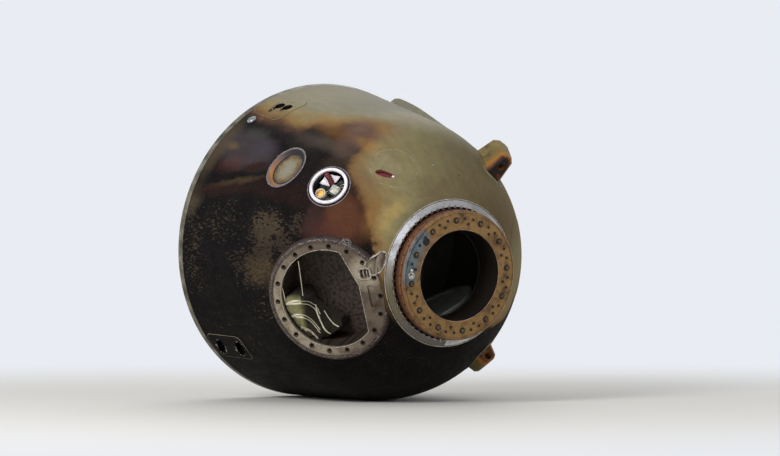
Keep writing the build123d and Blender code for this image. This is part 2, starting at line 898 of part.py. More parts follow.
# Scooped cover: a round flush cover with a hollowed face and an oval port
with BuildPart() as scooped_cover:
    with BuildSketch(scoop_plane.offset(-120)):
        Circle(scoop_radius)
    extrude(amount=200)
    add(body_of_revolution(0.0), mode=Mode.INTERSECT)
    add(body_of_revolution(wall), mode=Mode.SUBTRACT)
    dish = scoop_plane.from_local_coords((*scoop_dish_centre, scoop_dish_radius - scoop_dish_depth))
    with Locations(dish):
        Sphere(scoop_dish_radius, mode=Mode.SUBTRACT)
    with BuildSketch(scoop_plane.offset(-scoop_hole_depth)):
        with Locations(scoop_hole_centre):
            Ellipse(*scoop_hole, rotation=scoop_hole_turn)
    extrude(amount=2 * scoop_hole_depth, mode=Mode.SUBTRACT)


# Room for the bulkhead inside the wall, which the thruster housings stay clear of
with BuildPart() as bulkhead_room:
    add(body_of_revolution(wall))
    with BuildSketch(Plane.XY.offset(bay_base + 6)):
        Circle(2 * base_radius)
    extrude(amount=2 * frame_top, mode=Mode.SUBTRACT)


def thruster_panel(bearing, height, size, kind):
    """A flush cover over a pair of thrusters, with its housing behind it."""
    plane = on_cone(bearing, height)
    with BuildPart() as panel:
        with BuildSketch(plane.offset(-1.5 * panel_depth)):
            RectangleRounded(*size, panel_corner)
        extrude(amount=3 * panel_depth)
        add(body_of_revolution(-panel_rise), mode=Mode.INTERSECT)
        add(bulkhead_room.part, mode=Mode.SUBTRACT)
        if kind == "bores":
            add(body_of_revolution(panel_depth), mode=Mode.SUBTRACT)
            # Two round bores that break through the skin at a slant
            for x, y in ((0.0, -4.0), (90.0, 10.0)):
                origin = plane.from_local_coords((x, y, 0))
                bore = Plane(origin=origin, x_dir=plane.x_dir, z_dir=plane.z_dir)
                bore = bore.rotated((-nozzle_tilt, 0, 0))
                with BuildSketch(bore.offset(-nozzle_depth)):
                    Circle(nozzle_bore)
                extrude(amount=3 * nozzle_depth, mode=Mode.SUBTRACT)
        else:
            # Two oval mouths, sunk into the skin
            add(body_of_revolution(wall), mode=Mode.SUBTRACT)
            with BuildSketch(plane.offset(-mouth_depth)):
                with Locations((-126.0, -12.0), (139.0, -11.0)):
                    Ellipse(*mouth_size, rotation=mouth_turn)
            extrude(amount=2 * mouth_depth, mode=Mode.SUBTRACT)
    return panel


panels = {row[0]: thruster_panel(*row[1:]) for row in panel_table}


def cut_corners(outline, corner):
    """An outline with every corner cut off, by the same length along both of its sides."""
    points = []
    for i, here in enumerate(outline):
        for other in (outline[i - 1], outline[(i + 1) % len(outline)]):
            points.append(here + (other - here).normalized() * corner)
    return points


# Fairings over the thrusters near the hatch: bearing, colatitude, turn, and three outlines from the foot
# to the top: height above the skin, half length, near edge, far edge at the foot's end and at the nozzle's
fairing_table = {
    "fairing_side": (
        (319.5, 62.3, 9.25),
        ((-40.0, 168.0, -89.0, 89.0, 89.0), (150.0, 150.0, -56.0, 98.0, 62.0), (178.0, 128.0, -34.0, 74.0, 40.0)),
    ),
    "fairing_low": (
        (223.0, 62.3, -9.25),
        ((-40.0, 160.0, -89.0, 89.0, 89.0), (64.0, 150.0, -62.0, 62.0, 62.0), (82.0, 130.0, -42.0, 42.0, 42.0)),
    ),
}


def thruster_fairing(place, outlines):
    """A tapered box with cut corners on the dome, which shrouds a sideways nozzle."""
    bearing, colatitude, turn = place
    plane = on_dome(bearing, colatitude).rotated((0, 0, turn))
    with BuildPart() as fairing:
        for height, half, near, far_foot, far_nozzle in outlines:
            corners = [
                Vector(-half, near),
                Vector(half, near),
                Vector(half - 8, far_nozzle),
                Vector(-half, far_foot),
            ]
            with BuildSketch(plane.offset(height)):
                with BuildLine():
                    Polyline(*cut_corners(corners, 24.0), close=True)
                make_face()
        loft(ruled=True)
        add(outer_bell, mode=Mode.SUBTRACT)
        middle = outlines[1][0] * 0.55
        mouth = Plane(origin=plane.from_local_coords((outlines[0][1], 0, middle)), z_dir=plane.x_dir)
        with BuildSketch(mouth.offset(-100)):
            Circle(28)
        extrude(amount=150, mode=Mode.SUBTRACT)
    return fairing


fairings = {name: thruster_fairing(*row) for name, row in fairing_table.items()}

# Cable fairing: a long low hump on the cone wall, blunt towards the base and running out towards the dome
with BuildPart() as cable_fairing:
    hump_end = hump_start + hump_length
    hump_middle = hump_start + 0.7 * hump_length
    with BuildSketch(half_plane(hump_bearing).offset(-hump_width / 2)):
        with BuildLine():
            shoulder = (cone_radius(hump_start + hump_nose, -hump_rise), hump_start + hump_nose)
            far_end = (cone_radius(hump_end, -4), hump_end)
            Polyline(
                far_end,
                (cone_radius(hump_end, wall), hump_end),
                (cone_radius(hump_start, wall), hump_start),
                (cone_radius(hump_start, -0.2 * hump_rise), hump_start),
                (cone_radius(hump_start + 0.3 * hump_nose, -0.72 * hump_rise), hump_start + 0.3 * hump_nose),
                shoulder,
            )
            ThreePointArc(shoulder, (cone_radius(hump_middle, -0.66 * hump_rise), hump_middle), far_end)
        make_face()
    extrude(amount=hump_width)
    add(outer_bell, mode=Mode.SUBTRACT)

# Round fitting: a bright domed plug beside the upper thruster panel
with BuildPart() as round_fitting:
    plug_plane = on_cone(38.1, 174.0)
    with BuildSketch(plug_plane.offset(-12)):
        Circle(38)
    extrude(amount=20)
    add(outer_bell, mode=Mode.SUBTRACT)

# How the capsule lies: on its cone wall, so that its axis dips towards the hatch by the cone's angle
rest_height = base_radius * cos(lean)
rear_reach = -base_radius * sin(lean)
front_reach = frame_top * cos(lean) + (frame_radius - 6) * sin(lean)
lying = Plane(
    origin=(-(rear_reach + front_reach) / 2, 0, rest_height),
    x_dir=(sin(lean), 0, cos(lean)),
    z_dir=(cos(lean), 0, -sin(lean)),
)

finished = {
    "base_ring": base_ring.part,
    "cone_wall": cone_wall.part,
    "dome_shell": dome_shell.part,
    "silver_band": silver_band.part,
    "clip_ring": clip_ring.part,
    "hatch_frame": hatch_frame.part,
    "hatch_seal": hatch_seal.part,
    "hinge_bracket": hinge_bracket.part,
    "base_bulkhead": base_bulkhead.part,
    "altimeter": altimeter.part,
    "equipment_bay": equipment_bay.part,
    "instrument_panel": instrument_panel.part,
    "chute_rim": chute_rim.part,
    "chute_flange": chute_flange.part,
    "chute_can": chute_can.part,
    "chute_pack": chute_pack.part,
    "riser_pocket": riser_pocket.part,
    "riser_channel": riser_channel.part,
    "reserve_cover": reserve_cover.part,
    "sight_housing": sight_housing.part,
    "sight_ring": sight_ring.part,
    "sight_valve": sight_valve.part,
    "sight_block": sight_block.part,
    "sight_tube": sight_tube.part,
    "scooped_cover": scooped_cover.part,
    "cable_fairing": cable_fairing.part,
    "round_fitting": round_fitting.part,
}
for group in (motors, seats, pads, panels, fairings):
    for name, builder in group.items():
        finished[name] = builder.part
for side, plane in window_planes.items():
    finished[f"window_frame_{side}"] = window_frame().moved(plane.location)
    finished[f"window_pane_{side}"] = window_pane().moved(plane.location)

# The cover stands open inside the cabin: it is turned about the hinge pin from where it was drawn
b = radians(hinge_bearing)
pin_line = Axis(
    (hinge_radius * cos(b), hinge_radius * sin(b), hinge_z),
    (sin(b), -cos(b), 0),
)
for name, builder in (("hatch_cover", hatch_cover), ("hatch_wheel", hatch_wheel), ("hinge_arm", hinge_arm)):
    finished[name] = builder.part.rotate(pin_line, open_angle)

for name, piece in finished.items():
    piece = piece.moved(lying.location)
    piece.label = name
    export_step(piece, f"parts/{name}.step")
print(len(finished), "pieces; tangent height", round(tangent_z, 1), "dome centre", round(dome_z, 1))
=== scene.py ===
# %% [markdown]
# # A landed crew capsule
# A bell-shaped re-entry capsule lies on its side after landing. The CAD model already gives its sizes, so
# this script only dresses it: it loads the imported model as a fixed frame, paints the scorched skin with
# procedural materials and adds the small worked pieces that a solid model leaves out.

# %% Tools and the frame
import json
from math import asin, cos, pi, radians, sin, sqrt, tan

import bmesh
import bpy
import numpy as np
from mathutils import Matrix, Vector
from mathutils.bvhtree import BVHTree


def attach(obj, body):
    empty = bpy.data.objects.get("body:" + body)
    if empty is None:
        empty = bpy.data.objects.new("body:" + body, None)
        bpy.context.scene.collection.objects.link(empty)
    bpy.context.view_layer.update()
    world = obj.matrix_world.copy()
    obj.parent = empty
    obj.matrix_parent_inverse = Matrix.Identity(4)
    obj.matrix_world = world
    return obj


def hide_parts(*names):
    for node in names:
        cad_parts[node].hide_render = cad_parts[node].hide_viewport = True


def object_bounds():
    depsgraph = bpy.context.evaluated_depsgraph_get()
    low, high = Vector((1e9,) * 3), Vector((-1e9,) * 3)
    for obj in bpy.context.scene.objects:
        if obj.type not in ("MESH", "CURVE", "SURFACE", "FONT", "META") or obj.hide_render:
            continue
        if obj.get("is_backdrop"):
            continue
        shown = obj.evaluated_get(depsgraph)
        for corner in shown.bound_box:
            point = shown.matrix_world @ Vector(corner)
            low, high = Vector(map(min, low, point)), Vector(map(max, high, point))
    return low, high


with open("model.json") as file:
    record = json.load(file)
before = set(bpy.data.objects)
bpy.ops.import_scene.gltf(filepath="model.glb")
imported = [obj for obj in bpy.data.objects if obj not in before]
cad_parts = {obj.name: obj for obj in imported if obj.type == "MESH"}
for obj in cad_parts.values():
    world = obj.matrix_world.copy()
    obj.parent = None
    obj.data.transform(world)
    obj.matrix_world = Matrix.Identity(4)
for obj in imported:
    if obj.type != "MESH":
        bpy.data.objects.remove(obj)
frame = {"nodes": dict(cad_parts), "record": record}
nodes = frame["nodes"]
scene = bpy.context.scene
scene.view_settings.view_transform = "Standard"
cad_box = [list(corner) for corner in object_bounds()]
print("the CAD box is", [[round(v, 3) for v in corner] for corner in cad_box])

# %% [markdown]
# The capsule was drawn upright and then laid down on its cone wall. Most of its features are easiest to
# place in the upright coordinates: x points at the side that lies uppermost, y at the near side and z at
# the hatch, all from the middle of the base rim. One rotation and one shift take them to the room.

# %% Upright capsule coordinates
LEAN = radians(7)
MIDDLE = np.array((-1.013616, 0.0, 1.240683))
TURN = np.array(((sin(LEAN), 0, cos(LEAN)), (0, -1, 0), (cos(LEAN), 0, -sin(LEAN))))
BASE_RADIUS = 1.25
DOME_RADIUS = 1.13
TANGENT = (BASE_RADIUS - DOME_RADIUS * cos(LEAN)) / tan(LEAN)
DOME_Z = TANGENT - DOME_RADIUS * sin(LEAN)
TOP = (np.zeros(3), np.array((1.0, 0, 0)), np.array((0, 1.0, 0)), np.array((0, 0, 1.0)))


def lay(points):
    """Upright coordinates to the room: turned as the capsule lies, then shifted to the rim's middle."""
    return np.asarray(points, float) @ TURN + MIDDLE


def upright(points):
    """Room coordinates back to upright ones: the shift taken off, then turned back."""
    return (np.asarray(points) - MIDDLE) @ TURN.T


def facing(bearing, colatitude, height, distance):
    """A plane on the skin as upright (origin, up, across, out); up runs along the skin to the hatch."""
    b = radians(bearing)
    c = radians(colatitude)
    out = np.array((sin(c) * cos(b), sin(c) * sin(b), cos(c)))
    up = np.array((-cos(c) * cos(b), -cos(c) * sin(b), sin(c)))
    return np.array((0, 0, height)) + out * distance, up, np.cross(out, up), out


def on_dome(bearing, colatitude):
    return facing(bearing, colatitude, DOME_Z, DOME_RADIUS)


def on_cone(bearing, z, rise=0.0):
    r = BASE_RADIUS - z * tan(LEAN)
    return facing(bearing, 83.0, z - r * tan(LEAN), r / cos(LEAN) + rise)


def placed(local, plane):
    """Points (up, across, out) on a plane, in upright coordinates: its origin plus each axis' share."""
    local = np.asarray(local, float)
    origin, up, across, out = plane
    return origin + local[..., :1] * up + local[..., 1:2] * across + local[..., 2:3] * out


def moved(plane, *place):
    """The same plane with its origin at a place (up, across, out) on it."""
    return placed(place, plane), *plane[1:]


print("the dome meets the cone", round(TANGENT, 3), "m above the base")

# %% Where the features sit
FACE_Z = 2.137  # the hatch ring's face
CHUTE = facing(107.7, 51.5, DOME_Z, DOME_RADIUS - 0.088)  # the parachute compartment's mouth
RISER_POCKET = (0.331, 0.170)  # its middle in that plane
CHANNEL = on_dome(83.5, 31.3)  # the riser channel
SIGHT = on_dome(52.8, 60.8)  # the sight port
SCOOP = on_dome(24.5, 47.9)  # the scooped cover
WINDOWS = {side: on_cone(b, TANGENT - 0.056, -0.006) for side, b in (("near", 52.5), ("far", 232.5))}
FAIRINGS = {"fairing_side": on_dome(319.5, 62.3), "fairing_low": on_dome(223.0, 62.3)}
UPPER = (27, 300)  # bearings of the upper thruster panels
UPPER_PANELS = [on_cone(bearing, 0.250) for bearing in UPPER]
LOWER_PANELS = [on_cone(bearing, 0.315) for bearing in (131, 229)]
BORE = (0.045, 0.003)  # the bore's middle in an upper panel
print(len(WINDOWS), "windows,", len(FAIRINGS), "fairings and", len(UPPER_PANELS + LOWER_PANELS), "panels")

# %% [markdown]
# The camera repeats the photograph's view. It stands far away with a long lens, level with the capsule's
# middle, and looks at the hatch end from the near side.

# %% Camera
SENSOR = 36
FOCAL_PIXELS = 3766.4
PHOTO_WIDTH = 780
camera = bpy.data.objects.new("camera", bpy.data.cameras.new("camera"))
scene.collection.objects.link(camera)
scene.camera = camera
camera.data.sensor_width = SENSOR
camera.data.lens = SENSOR * FOCAL_PIXELS / PHOTO_WIDTH
camera.data.clip_end = 200
camera.location = (24.962384, -15.022, 1.337183)
look = Vector((-0.8559, 0.5172, 0.0))
camera.rotation_mode = "QUATERNION"
camera.rotation_quaternion = look.to_track_quat("-Z", "Y")
print("the lens is", round(camera.data.lens), "mm long")

# %% [markdown]
# The studio is a pale floor that runs into a pale background, with one large soft lamp high on the left, a
# weaker one on the right, another behind and an even sky. The levels are set so that a colour renders about
# as written.

# %% Colours, floor and lamps


def colour(hex_code):
    """An sRGB hex colour as linear RGBA: c/12.92 for a channel below 0.04045, else ((c+0.055)/1.055)^2.4."""
    c = np.array([int(hex_code[i : i + 2], 16) / 255 for i in (1, 3, 5)])
    linear = np.where(c <= 0.04045, c / 12.92, ((c + 0.055) / 1.055) ** 2.4)
    return (*linear.tolist(), 1.0)


def put(tree, kind, settings=None, inputs=None, stops=None, points=None):
    """Adds one node with its settings and inputs; an input is a value or another node's output socket."""
    made = tree.nodes.new("ShaderNode" + kind)
    for key, value in (settings or {}).items():
        setattr(made, key, value)
    for key, value in (inputs or {}).items():
        if isinstance(value, bpy.types.NodeSocket):
            tree.links.new(value, made.inputs[key])
        else:
            made.inputs[key].default_value = value
    if stops:
        ends = made.color_ramp
        while len(ends.elements) < len(stops):
            ends.elements.new(0.5)
        for element, (place, shade) in zip(ends.elements, sorted(stops)):
            element.position = place
            element.color = colour(shade)
    if points:
        line = made.mapping.curves[0]
        while len(line.points) < len(points):
            line.points.new(0.5, 0.5)
        for point, place in zip(line.points, sorted(points)):
            point.location = place
        made.mapping.update()
    return made


def sums(tree, operation, *values):
    """One step of arithmetic on numbers or sockets."""
    return put(tree, "Math", {"operation": operation}, dict(enumerate(values))).outputs[0]


def vectors(tree, operation, *values):
    """One step of vector arithmetic: its outputs, of which 0 is the vector and "Value" the number."""
    return put(tree, "VectorMath", {"operation": operation}, dict(enumerate(values))).outputs


def scaled(tree, tone, factor):
    return put(tree, "VectorMath", {"operation": "SCALE"}, {0: tone, "Scale": factor}).outputs[0]


def mixed(tree, factor, below, above):
    """A colour, as a socket or as hex, laid over another by a factor."""
    inputs = {"Factor": factor, "A": below, "B": colour(above) if isinstance(above, str) else above}
    return put(tree, "Mix", {"data_type": "RGBA"}, inputs).outputs["Result"]


def ramp(tree, value, stops):
    return put(tree, "ValToRGB", None, {0: value}, stops=stops).outputs[0]


def ranged(tree, value, start, end, low=0.0, high=1.0, smooth=False):
    """How far a value lies between start and end, as a number from low to high; smooth eases both ends."""
    inputs = {"Value": value, "From Min": start, "From Max": end, "To Min": low, "To Max": high}
    return put(tree, "MapRange", {"interpolation_type": "SMOOTHSTEP"} if smooth else None, inputs).outputs[0]


def noise(tree, places, scale, detail, rough=0.5, output=0):
    inputs = {"Vector": places, "Scale": scale, "Detail": detail, "Roughness": rough}
    return put(tree, "TexNoise", None, inputs).outputs[output]


def new_material(name):
    made = bpy.data.materials.new(name)
    made.use_nodes = True
    made.node_tree.nodes.clear()
    return made, made.node_tree


def close_material(tree, surface):
    put(tree, "OutputMaterial", None, {"Surface": surface})


def seen_rays(tree):
    """1 for a ray that ends in the picture, also in a mirror or through glass, and 0 for light on its way."""
    path = put(tree, "LightPath").outputs
    seen = sums(tree, "MAXIMUM", path["Is Camera Ray"], path["Is Glossy Ray"])
    return sums(tree, "MAXIMUM", seen, path["Is Transmission Ray"])


PALE = colour("#E9ECF2")
scene.world = bpy.data.worlds.new("sky")
scene.world.use_nodes = True
sky = scene.world.node_tree
sky.nodes.clear()
even = put(sky, "Background", None, {"Color": colour("#F2F4F8"), "Strength": 0.55})
pale = put(sky, "Background", None, {"Color": PALE, "Strength": 1.0})
both = put(sky, "MixShader", None, {0: seen_rays(sky), 1: even.outputs[0], 2: pale.outputs[0]})
put(sky, "OutputWorld", None, {"Surface": both.outputs[0]})

FLOOR = 60.0
HAZE = (2.2, 9.0)  # metres from the middle between which the floor fades
floor_mesh = bpy.data.meshes.new("floor")
corners = [(-FLOOR, -FLOOR, 0), (FLOOR, -FLOOR, 0), (FLOOR, FLOOR, 0), (-FLOOR, FLOOR, 0)]
floor_mesh.from_pydata(corners, [], [(0, 1, 2, 3)])
floor = bpy.data.objects.new("floor", floor_mesh)
scene.collection.objects.link(floor)
# Matt floor paint, which fades into the pale background far from the capsule
floor_paint, tree = new_material("pale_floor_paint")
coat = put(tree, "BsdfPrincipled", None, {"Base Color": colour("#D9D6CF"), "Roughness": 0.8})
reach = vectors(tree, "LENGTH", put(tree, "TexCoord").outputs["Object"])["Value"]
far = ranged(tree, reach, *HAZE, smooth=True)
share = sums(tree, "MULTIPLY", seen_rays(tree), far)
haze = put(tree, "Emission", None, {"Color": PALE, "Strength": 1.0})
blend = put(tree, "MixShader", None, {0: share, 1: coat.outputs[0], 2: haze.outputs[0]})
close_material(tree, blend.outputs[0])
floor_mesh.materials.append(floor_paint)
floor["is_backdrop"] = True

LAMPS = (
    ("key", (6.0, -12.5, 8.0), 5.0, 1500.0),
    ("fill", (11.0, 5.0, 4.0), 6.0, 260.0),
    ("back", (-8.0, 5.0, 7.0), 6.0, 260.0),
)
for name, place, size, power in LAMPS:
    lamp = bpy.data.objects.new(name, bpy.data.lights.new(name, "AREA"))
    lamp.data.size = size
    lamp.data.energy = power
    lamp.location = place
    lamp.rotation_mode = "QUATERNION"
    lamp.rotation_quaternion = (Vector((0, 0, 1.1)) - Vector(place)).to_track_quat("-Z", "Y")
    scene.collection.objects.link(lamp)
print(len(LAMPS), "lamps and a floor of", 2 * FLOOR, "m")

# %% [markdown]
# Every added piece is a grid of points worked out at once: a profile turned round an axis, a section
# carried along a path, or a bead laid along an outline. Drawing them by hand would be quicker for one
# piece, but a formula can be checked, and the same few lines make a nut, a wire and a burnt rim.

# %% Outlines


def angles(count):
    """Even steps round a circle, from 0 to just short of 2 pi."""
    return np.arange(count) / count * 2 * pi


def circle(radius, count=8):
    t = angles(count)
    return np.stack((radius * np.cos(t), radius * np.sin(t)), -1)


def set_in(x, y, turn, centre):
    """Flat places turned by so many degrees and then moved to a centre."""
    a = radians(turn)
    return np.stack((centre[0] + x * cos(a) - y * sin(a), centre[1] + x * sin(a) + y * cos(a)), -1)


def evened(outline, count, closed=True):
    """An outline with count points evenly along its length."""
    outline = np.asarray(outline, float)
    if closed:
        outline = np.concatenate((outline, outline[:1]))
    step = np.linalg.norm(np.diff(outline, axis=0), axis=1)
    along = np.concatenate(([0], np.cumsum(step)))
    place = np.linspace(0, along[-1], count, endpoint=not closed)
    return np.stack([np.interp(place, along, outline[:, k]) for k in range(outline.shape[1])], -1)


def oval(half_length, half_width, turn=0.0, centre=(0.0, 0.0), count=96):
    """An ellipse: half_length * cos t one way and half_width * sin t the other, turned and moved."""
    t = angles(count)
    return set_in(half_length * np.cos(t), half_width * np.sin(t), turn, centre)


def rounded(length, width, corner, turn=0.0, centre=(0.0, 0.0), count=160):
    """A rectangle with round corners: each corner's middle plus corner * (cos t, sin t), evened along it."""
    t = (np.arange(48) + 0.5) / 48 * 2 * pi
    x = np.sign(np.cos(t)) * (length / 2 - corner) + corner * np.cos(t)
    y = np.sign(np.sin(t)) * (width / 2 - corner) + corner * np.sin(t)
    return evened(set_in(x, y, turn, centre), count)


def eased(points):
    """A smooth path near a few points: each of three rounds cuts every corner at a quarter of its runs."""
    points = np.asarray(points, float)
    for _ in range(3):
        near = 0.75 * points[:-1] + 0.25 * points[1:]
        far = 0.25 * points[:-1] + 0.75 * points[1:]
        cut = np.stack((near, far), 1).reshape(-1, points.shape[1])
        points = np.concatenate((points[:1], cut, points[-1:]))
    return points


def ripple(t, seed, lowest=5, highest=60):
    """A closed wavy line between about -1 and 1: sine waves that get shorter and lower, added up."""
    waves = np.arange(lowest, highest)
    phase = np.random.default_rng(seed).uniform(0, 2 * pi, len(waves))
    height = 1 / np.sqrt(waves)
    total = (np.sin(np.outer(t, waves) + phase) * height).sum(-1)
    return total / (1.6 * np.sqrt((height**2).sum() / 2))


# %% Surfaces from whole arrays


def quads(rows, columns, closed_rows=False, closed_columns=False):
    """The faces of a grid of rows by columns; a closed direction joins its last line to its first."""
    i = np.arange(rows if closed_rows else rows - 1)[:, None]
    j = np.arange(columns if closed_columns else columns - 1)[None, :]
    below = (i + 1) % rows
    right = (j + 1) % columns
    corners = (i * columns + j, below * columns + j, below * columns + right, i * columns + right)
    return np.stack(corners, -1).reshape(-1, 4)


def gathered(parts):
    """Several shapes as one: each one's faces are moved on by the number of points before it."""
    counts = np.cumsum([0] + [len(points) for points, _ in parts])
    points = np.concatenate([points for points, _ in parts])
    return points, np.concatenate([faces + count for (_, faces), count in zip(parts, counts)])


def unit(arrows):
    return arrows / np.linalg.norm(arrows, axis=-1, keepdims=True)


def turned(profile, sides, plane, start=0.0):
    """A profile of (radius, height) turned round a plane's axis: radius * (cos a, sin a) at every angle a."""
    radius, height = np.asarray(profile, float).T
    a = start + angles(sides)
    ways = (np.outer(np.cos(a), radius), np.outer(np.sin(a), radius), np.tile(height, (sides, 1)))
    local = np.stack(ways, -1)
    return placed(local.reshape(-1, 3), plane), quads(sides, len(radius), True, radius[0] > 0)


def swept(path, section, up):
    """A section of (side, rise) carried along a path: side is run x up, and rise is square to both."""
    path = np.asarray(path, float)
    run = unit(np.gradient(path, axis=0))
    side = unit(np.cross(run, up))
    rise = np.cross(side, run)
    points = path[:, None] + section[None, :, :1] * side[:, None] + section[None, :, 1:] * rise[:, None]
    first, last = (np.broadcast_to(end, (1, *points.shape[1:])) for end in (path[0], path[-1]))
    points = np.concatenate((first, points, last))
    return points.reshape(-1, 3), quads(len(points), len(section), False, True)


def settled(points, rise):
    """Upright points on the bell's skin and out by rise: along the dome's radius, or square to the cone."""
    centre = np.array((0, 0, DOME_Z))
    arm = points - centre
    reach = np.linalg.norm(arm, axis=-1, keepdims=True)
    dome = arm / reach * (DOME_RADIUS + rise[..., None]) + centre
    bearing = np.arctan2(points[..., 1], points[..., 0])
    ways = (cos(LEAN) * np.cos(bearing), cos(LEAN) * np.sin(bearing), np.full_like(bearing, sin(LEAN)))
    gap = (np.hypot(points[..., 0], points[..., 1]) - BASE_RADIUS + points[..., 2] * tan(LEAN)) * cos(LEAN)
    cone = points - np.stack(ways, -1) * (gap - rise)[..., None]
    return np.where((arm[..., 2:] > reach * sin(LEAN)), dome, cone)


BEAD_SIDES = 8
BEAD_FOOT = 0.0015  # metres that a bead reaches below its ground


def bead(outline, plane, width, height, lift=0.0, on_bell=False, closed=True):
    """A low ridge along an outline: width * cos t to the side, height * sin t up, and a foot below."""
    count = len(outline)
    width = np.broadcast_to(width, count)[:, None]
    height = np.broadcast_to(height, count)[:, None]
    run = np.roll(outline, -1, 0) - np.roll(outline, 1, 0) if closed else np.gradient(outline, axis=0)
    run = unit(run)
    side = np.stack((run[:, 1], -run[:, 0]), -1)
    t = angles(BEAD_SIDES)
    flat = outline[:, None] + side[:, None] * (width * np.cos(t))[..., None]
    wave = np.sin(t)[None, :]
    rise = lift + np.where(wave > 0, wave * height, wave * BEAD_FOOT)
    if on_bell:
        points = settled(placed(np.concatenate((flat, np.zeros_like(rise)[..., None]), -1), plane), rise)
    else:
        points = placed(np.concatenate((flat, rise[..., None]), -1), plane)
    return points.reshape(-1, 3), quads(count, BEAD_SIDES, closed, True)


def round_bead(radius, count, plane, width, height, lift=0.0, on_bell=False):
    return bead(circle(radius, count), plane, width, height, lift, on_bell)


def new_piece(name, shape, finish, body="capsule", stands_for=(), sharp=35.0):
    """Puts a shape into the room as a piece: laid down with the capsule, doubled points merged, and smooth
    but for edges sharper than an angle."""
    points, faces = shape
    mesh = bpy.data.meshes.new(name)
    mesh.from_pydata(lay(points).tolist(), [], faces.tolist())
    solid = bmesh.new()
    solid.from_mesh(mesh)
    bmesh.ops.remove_doubles(solid, verts=solid.verts, dist=1e-5)
    loose = [edge for edge in solid.edges if not edge.link_faces]
    bmesh.ops.delete(solid, geom=loose, context="EDGES")
    solid.to_mesh(mesh)
    solid.free()
    mesh.polygons.foreach_set("use_smooth", [True] * len(mesh.polygons))
    mesh.set_sharp_from_angle(angle=radians(sharp))
    piece = bpy.data.objects.new(name, mesh)
    scene.collection.objects.link(piece)
    mesh.materials.append(finish)
    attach(piece, body)
    if stands_for:
        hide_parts(*stands_for)
    print(name, len(mesh.polygons), "faces")
    return piece


# %% [markdown]
# The skin is an ablative coat: fibre and resin that charred in the air stream. On the real capsule the
# windward side is black and flaky, the lee side is only browned to olive and ochre, and hot gas left
# streaks behind each window. Painting that by image is one way; here every tint is a soft patch at a
# bearing and a height on the bell, so the pattern holds from every side and at any size.

# %% Skin coordinates
ARC = 0.0185  # metres along the skin for one degree of bearing


def skin_places(tree):
    """Object coordinates, the same turned upright, and (arc, height) on the skin: arc = degrees * ARC."""
    solid = put(tree, "TexCoord").outputs["Object"]
    shift = -(TURN @ MIDDLE)
    inputs = {"Vector": solid, "Location": shift.tolist(), "Rotation": (pi, LEAN - pi / 2, 0)}
    upright = put(tree, "Mapping", None, inputs).outputs[0]
    split = put(tree, "SeparateXYZ", None, {0: upright}).outputs
    arc = sums(tree, "MULTIPLY", sums(tree, "ARCTAN2", split[1], split[0]), 180 / pi * ARC)
    flat = put(tree, "CombineXYZ", None, {0: arc, 1: split[2]}).outputs[0]
    return solid, upright, flat


def wobbled(tree, solid, flat, scale, amount):
    """The flat coordinates moved by up to half of amount, by noise with about scale bumps a metre."""
    bumps = noise(tree, solid, scale, 5.0, 0.6, "Color")
    centred = vectors(tree, "SUBTRACT", bumps, (0.5, 0.5, 0.5))[0]
    return vectors(tree, "MULTIPLY_ADD", centred, (amount, amount, 0.0), flat)[0]


def patch(tree, flat, bearing, height, half_arc, half_height, turn, soft):
    """A soft ellipse on the skin, 1 inside and 0 outside: the place's length in units of its half sizes."""
    inputs = {
        "Vector": flat,
        "Location": (bearing * ARC, height, 0),
        "Rotation": (0, 0, radians(turn)),
        "Scale": (half_arc, half_height, 1),
    }
    place = put(tree, "Mapping", {"vector_type": "TEXTURE"}, inputs).outputs[0]
    return ranged(tree, vectors(tree, "LENGTH", place)["Value"], 1 + soft, 1 - soft, smooth=True)


def axis_distance(tree, places):
    """How far places lie from the z axis: the length of (x, y, 0)."""
    level = vectors(tree, "MULTIPLY", places, (1, 1, 0))[0]
    return vectors(tree, "LENGTH", level)["Value"]


# %% [markdown]
# Lists hold the pattern. Two give the edges of the browned, olive side: for each height, the bearing where it
# stops on the near side and on the far side. Then come the tints, each a patch with its place, half sizes in
# metres, turn, softness, strength and colour; the patches of flakes; and the soot that ran out of the upper
# thrusters' bores.

